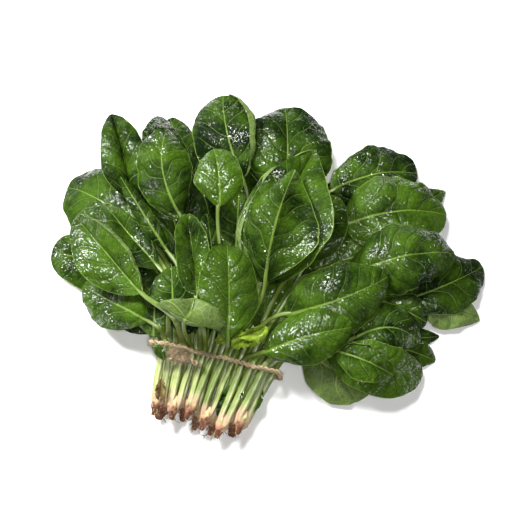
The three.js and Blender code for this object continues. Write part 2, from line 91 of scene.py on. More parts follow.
# ---- the tie, found from the frame, and the rows of stalks under it (mm)
TIE_LOW, TIE_HIGH = (np.array(corner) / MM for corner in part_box("twine_loop"))
TIE_CENTRE = (TIE_LOW + TIE_HIGH) / 2
TIE_PLANNED = (-37.5, -68)  # where the leaf table below takes the tie to be
SHIFT = np.array([TIE_CENTRE[0] - TIE_PLANNED[0], TIE_CENTRE[1] - TIE_PLANNED[1], 0])
TURN = math.radians(14.4)  # of the tie line, clockwise from +X
ALONG_TIE = np.array([math.cos(TURN), -math.sin(TURN), 0])
TO_LEAVES = np.array([math.sin(TURN), math.cos(TURN), 0])
COLUMNS = 12
COLUMN_PITCH = 7.5
ROW_OFFSET = 1.9
ROW_HEIGHT = 6.6
TWINE_RADIUS = 1.6
TWINE_HALF_WIDTH = 50
TWINE_CORNER = 7
TWINE_TOP = TIE_HIGH[2] - TWINE_RADIUS
KNOT_PLACE = (-25.5, -6.6, 33.4)  # along the tie, towards the leaves, height
KNOT_LENGTH = 16
KNOT_RADIUS = 3.4
TWINE_STEP = 0.75
PLY_COUNT = 2
LOOP_HAIRS = 420
KNOT_HAIRS = 620
END_HAIRS = 130
LOWEST_HAIR = 0.15  # above the surface

# ---- stalks and crowns (mm)
STALK_AT_CROWN = (2.9, 2.5)  # half width, half thickness
STALK_AT_TIE = (3.2, 2.7)
STALK_AT_BLADE = (1.75, 1.55)
FULL_STALK_SIZE = 100
THINNEST_STALK = 0.6
STALK_SHARE = (0.74, 1.0)  # of the stalk's full size, least and most
STALK_BEND = (0.35, 45)  # share of its length that a stalk takes to bend, and the most
STALK_STEP = 2.4
IN_CROWN = 8  # how far a stalk runs into its crown
GATHER = 0.55  # how far it is drawn to the crown's middle there
COLOUR_AT_TIE = 0.3  # from 0 at the crown to 1 at the blade
MIDRIB_SINK = 0.3  # of the midrib's top below the upper side of the blade
FLIPPED_SINK = 0.4  # share of it that is left where the underside is up
CROWN_PLACE = (-2, -38)
UPPER_CROWNS = ("upper", 2, 19, (0, 2, 4, 6, 8, 10), (0, 0, -3, 2, 5, -2))
LOWER_CROWNS = ("lower", 0, 5.9, (0, 3, 5, 7, 9), (1, -2, 2, 3, 0))
CROWN_PITCH = 6.45
CROWN_COLUMN_SPACING = 5.2
CROWN_HALF_HEIGHT = 5.3
CROWN_ROW_SPACING = 5.2
CROWN_LENGTH = 13
CROWN_PLACES = (-4.5, -2, 0, 3, 5.5, 8, 10, 12.5, 14)  # behind its middle
CROWN_SIZES = (0.45, 0.68, 0.84, 0.92, 0.84, 0.66, 0.48, 0.38, 0.26)  # shares of the full size
LOWEST_CROWN = 0.1  # above the surface
ROOTLETS = 14
LOWEST_ROOTLET = 0.4

# ---- blades and how they are laid (mm)
PUCKER_SIZE = 10  # distance between the tops of the blisters in a blade
PILLOW = (0.02, 0.07)  # rise of each half between midrib and margin, least and most, in widths
FOLD_SPREAD = 0.18
ROW_PAINTED_LIGHT = (0, 0.05, 0.2, 0.6)  # painted light and shade: how much lighter the leaves in each row are, from the lowest, which lies deepest in the pile's shade
# Painted light and shade for single leaves as well, by place in the pile, so that light and dark ones
# mix.
OWN_PAINTED_LIGHT = {5: 0.2, 12: 0.2, 13: -0.2, 14: -0.5, 16: -0.2, 18: 0.3, 28: -0.1, 36: 0.3, 41: 0.6}
LEAST_HALF_WIDTH = 2.2
WAVE_HEIGHT = 0.45
FULLY_RUFFLED = 12  # half width from which a margin has its whole ruffle
CELL = 0.8
FIELD = (-200, -160, 500, 420)  # left, front, columns and rows of the height grid
LAY_GAP = 0.6
LAY_ROUNDS = 60
LAY_RATE = 0.6
LAY_TOLERANCE = 0.05
LIFT_POINTS = 9
HELD_BY_TWINE = (2, 12)  # a stalk is held still for the first length, and free after the other

# ---- size of the patterns on a leaf (mm)
VEIN_NET_MESHES = (4.2, 1.5)  # of the net of small veins, and of the finest ones
VEIN_NET_BENDS = (7, 3.5)  # how far apart the bends in the net are, and how far it strays
LEAF_CLOUDS = 22
LEAF_GRAIN = 3
WET_PATCHES = 26
WATER_SPECKS = 1.5
FILM_RIPPLES = 4.5
GLOSS_PATCHES = 9

# Outlines: place of the widest part, fullness of the root and of the tip.
OVAL = (0.45, 0.8, 0.55)
BLUNT = (0.5, 0.7, 0.45)
WIDE = (0.45, 0.45, 0.5)
POINTED = (0.4, 0.8, 0.8)
TAPERED = (0.38, 0.6, 0.9)
FLAT = (0, 0, 0.6)

# One leaf each, from the bottom of the pile to the top: column and row of the stalk under
# the twine; root of the blade; heading at root and tip, in degrees clockwise from +Y; slope
# at root and tip; length and width; rise of the left half at midrib and margin, then of the
# right half; fold of the left and right margin and where it starts; outline; ruffle depth;
# and whether the blade shows its underside.
LEAVES = [
    [7, 0, [92, 44, 8], [70, 55], [15, -30], [62, 26], [10, 0, 0, -30], FLAT, POINTED, 1.5],
    [9, 0, [114, -19, 8], [105, 110], [10, -25], [56, 34], [5, 5, 0, -10], FLAT, POINTED, 1.5, True],
    [10, 0, [93, -46, 6], [105, 75], [10, -30], [45, 17], [20, 10, -10, -30], FLAT, POINTED, 1],
    [11, 0, [93, -55, 7], [105, 110], [15, -35], [43, 22], [10, 0, -5, -30], FLAT, OVAL, 1.5],
    [4, 0, [-63, 65, 10], [-5, -20], [10, -25], [72, 36], [5, -20, 5, -20], FLAT, OVAL, 1.5],
    [1, 0, [-106, -1, 7], [-65, -80], [10, -20], [68, 46], [0, -10, 0, -10], FLAT, BLUNT, 1.5],
    [5, 0, [-26, -12, 6], [5, 0], [2, -8], [116, 58], [0, -5, 0, -5], FLAT, OVAL, 1.5],
    [6, 0, [3, -32, 6], [30, 25], [2, -8], [124, 58], [0, -5, 0, -5], FLAT, OVAL, 1.5],
    [8, 0, [34, -38, 6], [60, 56], [2, -9], [96, 64], [0, -5, 0, -5], FLAT, OVAL, 1.5],
    [3, 0, [-57, -8, 6], [-15, -20], [2, -8], [130, 54], [0, -5, 0, -5], FLAT, OVAL, 1.5],
    [2, 0, [-73, -14, 6], [-35, -40], [2, -9], [88, 54], [0, -5, 0, -5], FLAT, OVAL, 1.5],
    [0, 0, [-84, -45, 5], [-50, -45], [10, -20], [54, 30], [0, -5, 0, -5], FLAT, OVAL, 1.5],
    [1, 1, [-96, 32, 18], [-50, -65], [15, -40], [86, 60], [0, -15, 5, -15], FLAT, BLUNT, 1.5],
    [2, 1, [-102, 52, 22], [-10, -20], [20, -20], [82, 44], [70, -10, 60, -20], FLAT, POINTED, 1],
    [3, 1, [-67, 51, 20], [-20, -5], [20, -20], [82, 36], [-10, -30, 10, -20], FLAT, OVAL, 1.5],
    [6, 1, [15, 55, 20], [5, -5], [20, -25], [86, 74], [0, -10, 0, -25], FLAT, BLUNT, 2],
    [4, 1, [-18, 71, 24], [-25, 0], [25, -25], [82, 62], [-10, -35, 5, 0], [0, 160, 0.68], BLUNT, 1],
    [7, 1, [50, 65, 16], [65, 90], [15, -30], [80, 50], [0, -20, 0, -20], FLAT, BLUNT, 2],
    [8, 1, [59, 34, 20], [70, 95], [25, -35], [98, 62], [0, -25, 0, -20], FLAT, WIDE, 2],
    [9, 1, [102, -23, 14], [75, 55], [15, -30], [80, 46], [10, -20, 0, -30], FLAT, BLUNT, 2],
    [10, 1, [90, -25, 16], [115, 110], [25, -50], [46, 28], [5, -20, 5, -20], FLAT, OVAL, 1.5],
    [11, 1, [27, -62, 14], [118, 122], [5, -30], [64, 48], [10, 0, 0, -15], FLAT, OVAL, 2, True],
    [1, 2, [-80, -2, 24], [-40, -40], [15, -15], [72, 36], [20, 25, -5, -5], [0, 150, 0.65], OVAL, 1],
    [2, 2, [-70, 5, 36], [-35, -30], [20, -15], [80, 15], [-10, -40, -10, -40], FLAT, OVAL, 1],
    [4, 2, [-63, 36, 34], [-35, 15], [25, -25], [90, 46], [-15, -35, 0, -30], FLAT, BLUNT, 1.5],
    [5, 2, [-39, -4, 32], [-5, -10], [15, -5], [46, 22], [30, 30, -30, -40], FLAT, OVAL, 1],
    [9, 2, [30, 4, 26], [20, 30], [20, -10], [60, 42], [0, -10, 0, -10], FLAT, OVAL, 1.5],
    [6, 2, [0, -14, 34], [10, 30], [15, -5], [114, 88], [10, 10, 20, 40], [150, 0, 0.72], TAPERED, 1],
    [10, 2, [63, -7, 30], [70, 85], [40, -40], [108, 58], [0, -35, -10, -50], FLAT, WIDE, 2],
    [11, 2, [62, -56, 26], [60, 125], [35, -45], [84, 44], [0, -30, 0, -20], FLAT, OVAL, 1.5],
    [7, 2, [-1, -16, 48], [8, 22], [28, -12], [94, 72], [-32, -65, -55, 30], FLAT, POINTED, 1.5],
    [3, 2, [-67, -42, 26], [-5, -5], [40, -5], [46, 38], [-5, -25, -5, -20], FLAT, OVAL, 1.5],
    [8, 2, [13, -38, 36], [85, 55], [35, -35], [106, 58], [0, -15, -15, -50], FLAT, WIDE, 1.5],
    [0, 3, [-87, -43, 22], [-60, -55], [10, -30], [68, 40], [-5, -25, 5, 5], FLAT, OVAL, 2],
    [10, 3, [44, -61, 28], [125, 70], [10, -35], [94, 40], [30, -20, -10, -25], FLAT, BLUNT, 1],
    [9, 3, [49, -64, 34], [110, 115], [30, -40], [60, 30], [0, 0, 10, 0], [140, 0, 0.72], OVAL, 1],
    [5, 3, [-35, 41, 50], [5, -15], [30, -25], [52, 38], [5, -25, 0, -20], FLAT, BLUNT, 1],
    [4, 3, [-50, -28, 44], [-5, -10], [40, -20], [74, 34], [40, 40, 35, 50], FLAT, OVAL, 1],
    [2, 3, [-91, -25, 36], [-40, -40], [20, -25], [90, 48], [0, -10, 30, 40], [0, 120, 0.7], OVAL, 1],
    [7, 3, [-18, -61, 33], [50, 60], [20, -10], [25, 13], [10, -10, 10, -20], FLAT, OVAL, 2],
    [8, 3, [-3, -67, 37], [70, 80], [35, -30], [82, 42], [0, -30, -5, -35], FLAT, BLUNT, 1],
    [6, 3, [-28, -58, 33], [5, -5], [38, -14], [80, 45], [-5, -25, -5, -25], FLAT, BLUNT, 1],
    [3, 3, [-58, -53, 34], [22, 8], [32, -40], [30, 54], [-5, -30, -5, -30], FLAT, WIDE, 2, True],
]
YOUNG_LEAF = 39  # place in the pile of the one small yellow-green leaf

# Small torn and crumpled bits of blade with no stalk, each with the kind of leaf it is from
# and the place in the pile that it goes under; the rest of a row is as in the table above,
# but for the fold, which a scrap hasn't.
SCRAPS = [
    ("leaf", 12, [1, 0, [-84, -54, 10], [5, -5], [10, -10], [44, 34], [0, -5, 0, -5], OVAL, 2]),
    ("leaf", 12, [7, 0, [-6, -50, 9], [35, 30], [10, -10], [60, 40], [0, -5, 0, -5], OVAL, 2]),
    ("leaf", 22, [3, 1, [-59, -53, 16], [0, 5], [15, 5], [28, 34], [10, 30, 20, 20], OVAL, 3]),
    ("leaf", 33, [7, 2, [-16, -84, 22], [218, 212], [-6, -8], [34, 15], [20, 10, 20, 0], OVAL, 3]),
    ("leaf", 12, [5, 0, [-44, -54, 8], [0, 5], [10, -10], [50, 34], [0, -5, 0, -5], OVAL, 2]),
    ("leaf", 22, [10, 1, [-3, -86, 14], [212, 208], [-4, -6], [30, 15], [20, 10, 10, 20], OVAL, 3]),
    ("leaf", 12, [9, 0, [36, 2, 9], [75, 70], [10, -10], [64, 44], [0, -5, 0, -5], OVAL, 2]),
    ("leaf", 43, [1, 3, [-82, -60, 30], [140, 160], [-10, -30], [15, 8], [30, 10, 20, 10], POINTED, 2]),
    ("young", 40, [6, 3, [-38, -57, 36], [70, 85], [20, -15], [13, 8], [50, 10, 30, -20], OVAL, 3]),
    ("young", 40, [8, 3, [-25, -63, 36], [50, 80], [25, -20], [20, 15], [50, -20, 30, 60], BLUNT, 4]),
    ("young", 40, [8, 3, [-20, -56, 37], [75, 60], [20, -20], [22, 13], [60, 100, -10, 30], OVAL, 3]),
    ("old", 43, [1, 3, [-77, -84, 30], [182, 190], [-5, -15], [16, 11], [45, 60, 40, 50], BLUNT, 3]),
]


# ---- the stage (m)
FLOOR_REACH = 4.0
FLOOR_LEVEL = -0.0005
# Name, place and size of each lamp, the setting of its power, and its share of that.
LAMPS = [
    ("key_softbox", (-0.75, 0.5, 0.85), 0.2, "key_power", 1),
    ("shine_softbox_far", (-0.2, 0.4, 1.15), 0.2, "shine_power", 1),
    ("shine_softbox_near", (0.05, -0.3, 1.2), 0.15, "shine_power", 0.6),
    ("fill_softbox", (0.9, -0.5, 0.9), 0.9, "fill_power", 1),
]


# ---- settings that a user would change
def size_setting(name, description, millimetres):
    return bpy.props.FloatProperty(
        name=name, description=description, default=millimetres * MM, unit="LENGTH", precision=5
    )


def colour_setting(name, description, hexcode):
    return bpy.props.FloatVectorProperty(
        name=name, description=description, default=linear(hexcode), subtype="COLOR", size=3
    )


class SpinachLeafSettings(bpy.types.PropertyGroup):
    blade_thickness: size_setting("Blade thickness", "Thickness of a blade between its veins", 0.8)
    mesh_step: size_setting("Mesh step", "Distance between the points of a blade", 1.3)
    blister_height: size_setting("Blister height", "Rise of the blade between side veins", 0.6)
    vein_spacing: size_setting("Vein spacing", "Distance between side veins at the midrib", 15)
    upper_green: colour_setting("Upper side", "Main green of the upper side", "#3C5812")
    upper_deep: colour_setting("Upper side, deep", "Darkest green of the upper side", "#0A1904")
    vein_green: colour_setting("Veins", "Midrib and side veins", "#7C9642")
    under_green: colour_setting("Underside", "Dull green of the underside", "#5E7438")
    young_green: colour_setting("Young leaf", "Yellow-green of a young leaf", "#86A22E")
    withered: colour_setting("Withered leaf", "Dry bits of old leaf", "#6B4630")
    stalk_pale: colour_setting("Stalk, pale", "Stalk near the crown", "#C2CA84")
    stalk_green: colour_setting("Stalk, green", "Stalk near the blade", "#64792A")
    stalk_pink: colour_setting("Stalk, pink", "Foot of the stalk", "#BF9484")


class SpinachCrownSettings(bpy.types.PropertyGroup):
    rootlet_length: size_setting("Rootlet length", "Longest of the broken rootlets", 7)
    crown_pale: colour_setting("Crown, pale", "Where the stalks join the crown", "#BDAF80")
    crown_pink: colour_setting("Crown", "Pink-brown skin of the crown", "#A8745F")
    crown_earth: colour_setting("Earth", "Brown of dry skin and cut root", "#5F3A22")


class JuteTwineSettings(bpy.types.PropertyGroup):
    ply_radius: size_setting("Ply radius", "Radius of one of the two plies", 1.0)
    twist_length: size_setting("Twist length", "Length of one full turn of the plies", 9)
    hair_length: size_setting("Hair length", "Longest loose fibres of the twine", 6)
    jute: colour_setting("Jute", "Main colour of the twine", "#B39E7A")
    jute_dark: colour_setting("Jute, dark", "Between the fibres", "#66563C")


class SpinachStageSettings(bpy.types.PropertyGroup):
    elevation: bpy.props.FloatProperty(
        name="Elevation",
        description="Angle of the camera above the surface",
        default=math.radians(76),
        subtype="ANGLE",
    )
    distance: size_setting("Distance", "From the camera to the bunch", 942)
    aim_height: size_setting("Aim height", "Height that the camera looks at", 35)
    aim_forward: size_setting("Aim forward", "Place that the camera looks at, along +Y", -6)
    lens: bpy.props.FloatProperty(name="Lens", description="Focal length in mm", default=85)
    key_power: bpy.props.FloatProperty(name="Key light", description="In watts", default=24)
    shine_power: bpy.props.FloatProperty(name="Shine light", description="In watts", default=12)
    fill_power: bpy.props.FloatProperty(name="Fill light", description="In watts", default=1.0)
    sky: bpy.props.FloatProperty(name="Sky", description="Strength of the even light", default=0.018)
    floor: colour_setting("Floor", "Plain pale floor", "#FCFCFA")


# ---- small vector helpers, on arrays whose last axis is x, y, z
def unit(v):
    return v / np.linalg.norm(v, axis=-1, keepdims=True)


def smooth(value):
    value = np.clip(value, 0, 1)
    return value * value * (3 - 2 * value)


def from_tie(along, ahead, height):
    """Points given along the tie line, ahead of it towards the leaves, and up."""
    along, ahead, height = np.broadcast_arrays(along, ahead, height)
    flat = along[..., None] * ALONG_TIE + ahead[..., None] * TO_LEAVES
    return flat + np.array([TIE_CENTRE[0], TIE_CENTRE[1], 0]) + height[..., None] * UP


def lengths_along(path):
    """Length of a path up to each of its points."""
    return np.concatenate([[0], np.cumsum(np.linalg.norm(np.diff(path, axis=0), axis=1))])


def angles_round(count):
    return np.linspace(0, 2 * math.pi, count, endpoint=False)


def cross_frame(direction):
    """Directions to the right of a curve and up across it."""
    side = unit(np.cross(direction, UP))
    return side, np.cross(side, direction)


# ---- stalks under the twine, and the crowns behind them
def stalk_at_tie(column, row):
    offset = ROW_OFFSET if row % 2 else -ROW_OFFSET
    along = (column - (COLUMNS - 1) / 2) * COLUMN_PITCH + offset
    return from_tie(along, 0, (row + 1) * ROW_HEIGHT)


class Crown:
    """Place and size of the root crown that holds a stalk."""

    def __init__(self, column, row):
        kind, self.first_row, height, starts, longer = UPPER_CROWNS if row > 1 else LOWER_CROWNS
        index = max(i for i, start in enumerate(starts) if start <= column)
        ends = [*starts[1:], COLUMNS]
        first, last = starts[index], ends[index] - 1
        self.name = f"{kind}_{index + 1}"
        self.middle = (first + last) / 2
        along = CROWN_PLACE[0] + (self.middle - (COLUMNS - 1) / 2) * CROWN_PITCH
        self.centre = from_tie(along, CROWN_PLACE[1] - longer[index], height)
        held = stalk_at_tie(first, self.first_row) + stalk_at_tie(last, self.first_row + 1)
        self.axis = unit(held / 2 - self.centre)
        self.half_across = (last - first + 1) / 2 * CROWN_COLUMN_SPACING
        self.side, self.up = cross_frame(self.axis)

    def stalk_place(self, column, row):
        across = (column - self.middle) * CROWN_COLUMN_SPACING
        above = (row - self.first_row - 0.5) * CROWN_ROW_SPACING
        return self.centre + self.side * across + self.up * above


def all_crowns():
    for _, row, _, starts, _ in (LOWER_CROWNS, UPPER_CROWNS):
        for column in starts:
            yield Crown(column, row)


# ---- one leaf
class Leaf:
    """The shape of one leaf before it is laid down."""

    def __init__(self, row, index, settings):
        column, level, root, headings, slopes, size, rises, fold, outline, ruffle, *flip = row
        self.index = index
        self.column = column
        self.level = level
        self.root = np.array(root) + SHIFT
        self.length, self.width = size
        self.bend = self.root + self.step(headings[0], slopes[0])
        self.tip = self.bend + self.step(headings[1], slopes[1])
        self.crown = Crown(column, level)
        self.start = self.crown.stalk_place(column, level)
        self.held = stalk_at_tie(column, level)
        self.reach = np.linalg.norm(self.root - self.held)
        share, most = STALK_BEND
        bend = min(self.reach * share, most)
        self.leave = self.held + unit(self.held - self.start) * bend
        self.arrive = self.root - unit(self.bend - self.root) * bend
        self.rises = np.radians(rises)
        self.fold = (math.radians(fold[0]), math.radians(fold[1]), fold[2])
        self.outline = outline
        self.ruffle = ruffle
        self.flipped = bool(flip)
        self.girth = min(1, max(THINNEST_STALK, sum(size) / FULL_STALK_SIZE))
        self.phase = (index * 2.4) % (2 * math.pi)
        self.total = self.reach + self.length
        self.skin = settings.blade_thickness / MM / 2
        self.blister = settings.blister_height / MM
        self.vein_spacing = settings.vein_spacing / MM * (0.75 + 0.25 * self.width / 60)
        self.random = np.random.default_rng(100 + index)
        self.waves = self.random.uniform(-1, 1, (6, 4))
        self.pillows = self.random.uniform(*PILLOW, 2)
        self.slender = self.random.uniform(*STALK_SHARE)
        spots = max(12, int(self.length * self.width / PUCKER_SIZE**2))
        tops = self.random.uniform((-0.55, 0), (0.55, 1), (spots, 2))
        self.puckers = tops * (self.width, self.length)

    def step(self, heading, slope):
        h, s = math.radians(heading), math.radians(slope)
        flat = np.array([math.sin(h), math.cos(h), 0]) * math.cos(s)
        return (flat + UP * math.sin(s)) * self.length / 2

    def stalk_curve(self, s):
        s = s[..., None]
        r = 1 - s
        held, leave, arrive, root = self.held, self.leave, self.arrive, self.root
        point = r**3 * held + 3 * s * r * r * leave + 3 * s * s * r * arrive + s**3 * root
        slope = r * r * (leave - held) + 2 * s * r * (arrive - leave) + s * s * (root - arrive)
        return point, unit(slope)

    def midrib_curve(self, s):
        s = s[..., None]
        first, second = self.bend - self.root, self.tip - self.bend
        point = self.root + first * s
        point = point + (self.bend + second * s - point) * s
        return point, unit(first * (1 - s) + second * s)

    def half_width(self, s, hand):
        widest, root_fullness, tip_fullness = self.outline
        before = np.sin(math.pi / 2 * np.clip(s / widest, 0, 1)) ** root_fullness
        after = np.cos(math.pi / 2 * np.clip((s - widest) / (1 - widest), 0, 1)) ** tip_fullness
        plain = self.width / 2 * np.where(s < widest, before, after)
        plain = np.maximum(plain, LEAST_HALF_WIDTH * (1 - s))
        return plain * (1 + 0.05 * np.sin(9 * s + self.phase + hand))

    def rise_at(self, hand, share):
        left = self.rises[0] + (self.rises[1] - self.rises[0]) * share
        right = self.rises[2] + (self.rises[3] - self.rises[2]) * share
        folded = smooth((share - self.fold[2]) / FOLD_SPREAD)
        left = left + self.fold[0] * folded
        right = right + self.fold[1] * folded
        return np.where(hand < 0, left, right)

    def section_at(self, hand, share):
        """Sideways and upward place in the cross-section, in half widths."""
        shares = np.linspace(0, 1, 81)
        result = []
        for turn in (np.cos, np.sin):
            sums = []
            for one in (-1, 1):
                values = turn(self.rise_at(np.full(80, one), (shares[1:] + shares[:-1]) / 2)) / 80
                sums.append(np.interp(share, shares, np.concatenate([[0], np.cumsum(values)])))
            result.append(np.where(hand < 0, sums[0], sums[1]))
        return result

    def vein_count(self, along, across, hand):
        """Side veins passed since the root: they fan out, bend to the tip and alternate."""
        away = np.abs(across)
        passed = (along - 0.5 * away - 0.006 * away**2) / (1 + 0.9 * away / self.length)
        strength, kx, ky, shift = self.waves[0]
        wander = (0.14 + 0.06 * strength) * np.sin(0.16 * away + 0.13 * along + 3 * shift + hand)
        ripple = (0.3 + 0.1 * kx) * away - (0.25 + 0.1 * ky) * along
        wander = wander + 0.07 * np.sin(ripple + 2 * hand)
        return passed / self.vein_spacing + np.where(hand < 0, 0.5, 0.0) + wander

    def pucker(self, across, along):
        """From 0 in the creases between blisters to 1 on their tops."""
        place = np.stack([across, along], -1)
        gaps = np.linalg.norm(place[:, None] - self.puckers, axis=2)
        nearest = np.partition(gaps, 1, axis=1)
        return smooth((nearest[:, 1] - nearest[:, 0]) / (0.55 * PUCKER_SIZE))

    def relief(self, s, hand, share, across):
        """Blisters between the side veins and broad uneven waves, in mm."""
        along = s * self.length
        veins = self.vein_count(along, across, hand)
        pucker = 0.55 * self.pucker(across, along)
        blister = np.abs(np.sin(math.pi * veins)) ** 0.6 + pucker - 0.9
        inside = smooth(share / 0.2) * (1 - smooth((share - 0.75) / 0.25)) * smooth((1 - s) / 0.15)
        height = self.blister * blister * inside * smooth(s / 0.1)
        height = height - 0.5 * self.skin * np.exp(-((across / 1.1) ** 2)) * (1 - s)
        pillow = np.where(hand < 0, self.pillows[0], self.pillows[1]) * self.width
        pillow = pillow * np.sin(math.pi * share**0.8)
        height = height + pillow * smooth(s / 0.25) * smooth((1 - s) / 0.25)
        for kx, ky, shift, strength in self.waves:
            x = across * (0.12 + 0.1 * kx)
            y = along * (0.14 + 0.1 * ky)
            wave = WAVE_HEIGHT * strength * np.sin(x + y + 6 * shift)
            height = height + wave * smooth(s / 0.2)
        edge = share**3 * np.minimum(self.half_width(s, hand) / FULLY_RUFFLED, 1)
        height = height + 0.4 * self.ruffle * edge * np.sin(31 * s + 1.7 * self.phase + hand)
        return height + 0.2 * self.ruffle * edge * np.sin(67 * s + 0.6 * self.phase + 2 * hand)

    def blade(self, s, across):
        """Points of the blade's upper and lower side; across runs from -1 to 1."""
        hand = np.where(across < 0, -1.0, 1.0)
        share = np.abs(across)
        point, direction = self.midrib_curve(s)
        side, up = cross_frame(direction)
        half = self.half_width(s, hand)
        sideways, upward = self.section_at(hand, share)
        angle = np.where(share > 0, self.rise_at(hand, share), 0)
        ruffle = self.ruffle * share**2 * np.minimum(half / FULLY_RUFFLED, 1)
        wave = ruffle * np.sin(14 * s + self.phase + 2 * hand)
        relief = self.relief(s, hand, share, across * half)
        faces = []
        for face in (1, -1):
            lift = relief + face * self.skin * (1 - share**6)
            right = hand * (sideways * half - np.sin(angle) * lift)
            above = upward * half + wave + np.cos(angle) * lift
            faces.append(point + side * right[..., None] + up * above[..., None])
        return faces

    def net_place(self, s):
        """Share of the whole leaf, stalk included, for a place on the blade."""
        return (self.reach + s * self.length) / self.total

    def net_across(self, s, across):
        return across * np.clip(s / 0.2, 0, 1)

    def stem(self, step):
        """Rings of the stalk and midrib: places, directions, half sizes, and places in the net
        and in the run of colours."""
        behind = np.linalg.norm(self.held - self.start)
        first = unit(self.held - self.start)
        back = np.linspace(-IN_CROWN, behind - 2, max(6, int(behind / step)))
        gather = GATHER * smooth(-back / IN_CROWN)[:, None]
        straight = self.start + first * back[:, None]
        middle = self.crown.centre + self.crown.axis * back[:, None]
        places = [straight * (1 - gather) + middle * gather]
        directions = [np.broadcast_to(first, places[0].shape)]
        grow = smooth(back / behind)[:, None]
        sizes = [np.array(STALK_AT_CROWN) * (1 - grow) + np.array(STALK_AT_TIE) * grow]
        t = [np.zeros(len(back))]
        colour = [COLOUR_AT_TIE * np.clip(back / behind, 0, 1)]
        s = np.linspace(0, 1, max(6, int(self.reach / step)))[:-1]
        point, direction = self.stalk_curve(s)
        places.append(point)
        directions.append(direction)
        shrink = s[:, None] ** 0.4
        sizes.append(np.array(STALK_AT_TIE) * (1 - shrink) + np.array(STALK_AT_BLADE) * shrink)
        t.append(s * self.reach / self.total)
        colour.append(COLOUR_AT_TIE + 0.7 * s)
        s = np.linspace(0, 0.93, max(8, int(self.length / step)))
        point, direction = self.midrib_curve(s)
        taper = (1 - s[:, None]) ** 1.25
        half = np.array(STALK_AT_BLADE) * taper + 0.25
        sink = smooth(s / 0.16) * (half[:, 1] * self.girth * self.slender - self.skin + MIDRIB_SINK)
        if self.flipped:
            sink = FLIPPED_SINK * sink
        up = cross_frame(direction)[1] * (1 if self.flipped else -1)
        zero = np.zeros_like(s)
        point = point + up * (sink - self.relief(s, zero + 1, zero, zero))[:, None]
        places.append(point)
        directions.append(direction)
        sizes.append(half)
        t.append(self.net_place(s))
        colour.append(1 + s)
        join = np.concatenate
        slender = self.girth * self.slender
        return join(places), join(directions), join(sizes) * slender, join(t), join(colour)

    def uneven(self, count):
        """A slow wander from side to side, and swelling, along the stalk."""
        x = np.linspace(0, 1, count)
        wander = 0.6 * np.sin(8 * x + self.phase) + 0.4 * np.sin(19 * x + 2 * self.phase)
        swell = 1 + 0.05 * np.sin(12 * x + 3 * self.phase) + 0.03 * np.sin(29 * x + self.phase)
        return wander, swell


# ---- the net: smooth lifting weights along and across a leaf
def share_of(part, whole):
    return np.where(whole > 0, part / np.where(whole > 0, whole, 1), 0)


def along_weights(t):
    """Weights of the lifting points at places along a leaf, as a quadratic B-spline."""
    spans = LIFT_POINTS - 2
    knots = np.concatenate([[0, 0], np.linspace(0, 1, spans + 1), [1, 1]])
    place = np.minimum(t, 1 - 1e-9)[:, None]
    weights = ((place >= knots[:-1]) & (place < knots[1:])).astype(float)
    for degree in (1, 2):
        before, after = knots[: -degree - 1], knots[degree + 1 :]
        rising = share_of(place - before, knots[degree:-1] - before)
        falling = share_of(after - place, after - knots[1:-degree])
        weights = rising * weights[:, :-1] + falling * weights[:, 1:]
    return weights


def net_weights(t, across, leaf):
    e = (across + 1) / 2
    sideways = np.stack([(1 - e) ** 2, 2 * e * (1 - e), e * e], -1)
    held, loose = HELD_BY_TWINE
    freedom = smooth((t * leaf.total - held) / (loose - held))
    both = along_weights(t)[:, :, None] * sideways[:, None, :]
    return both.reshape(len(t), -1) * freedom[:, None]


class Pile:
    """Heights of everything that has been laid down so far, on a grid."""

    def __init__(self):
        self.heights = np.full((FIELD[3], FIELD[2]), -LAY_GAP)

    def cells(self, points):
        column = ((points[:, 0] - FIELD[0] - SHIFT[0]) / CELL).astype(int)
        row = ((points[:, 1] - FIELD[1] - SHIFT[1]) / CELL).astype(int)
        return row, column

    def lay(self, points):
        row, column = self.cells(points)
        np.maximum.at(self.heights, (row, column), points[:, 2])

    def highest_near(self, points):
        rows, columns = self.heights.shape
        wide = np.pad(self.heights, 1, constant_values=-LAY_GAP)
        near = [wide[i : i + rows, j : j + columns] for i in range(3) for j in range(3)]
        return np.max(near, axis=0)[self.cells(points)]

    def settle(self, leaf):
        """Raise a leaf's net until nothing is closer than the gap to what lies under it."""
        under, over, t, across = leaf_samples(leaf)
        weights = net_weights(t, across, leaf)
        floor = self.highest_near(under) + LAY_GAP
        tested = t * leaf.total > 0.75 * HELD_BY_TWINE[1]
        power = np.maximum((weights**2).sum(1), 1e-9)
        net = np.zeros(LIFT_POINTS * 3)
        for _ in range(LAY_ROUNDS):
            short = np.where(tested, floor - under[:, 2] - weights @ net, 0)
            if short.max() < LAY_TOLERANCE:
                break
            low = short > 0
            net[3:] += (LAY_RATE * weights[low] * (short[low] / power[low])[:, None]).max(0)[3:]
        over[:, 2] += weights @ net
        self.lay(over)
        return net

    def rest(self, scrap):
        """Drop a stiff little scrap as it is, until it rests on what lies under it."""
        under, over, _, _ = blade_samples(scrap, CELL)
        lift = (self.highest_near(under) + LAY_GAP - under[:, 2]).max()
        over[:, 2] += lift
        self.lay(over)
        return np.full(LIFT_POINTS * 3, lift)


def leaf_samples(leaf):
    """Close points on the lower and upper sides of a leaf, with their places in the net."""
    fine = CELL * 0.85
    places, directions, sizes, t, _ = leaf.stem(fine)
    side, _ = cross_frame(directions)
    x = np.linspace(-1, 1, 9)
    right = side[:, None] * (sizes[:, :1, None] * x[:, None])
    high = (sizes[:, 1:] * np.sqrt(1 - (0.97 * x) ** 2))[..., None] * UP
    under = [(places[:, None] + right - high).reshape(-1, 3)]
    over = [(places[:, None] + right + high).reshape(-1, 3)]
    net_t = [np.repeat(t, len(x))]
    net_x = [np.zeros(len(t) * len(x))]
    samples = zip((under, over, net_t, net_x), blade_samples(leaf, fine))
    return [np.concatenate([*stalk, blade]) for stalk, blade in samples]


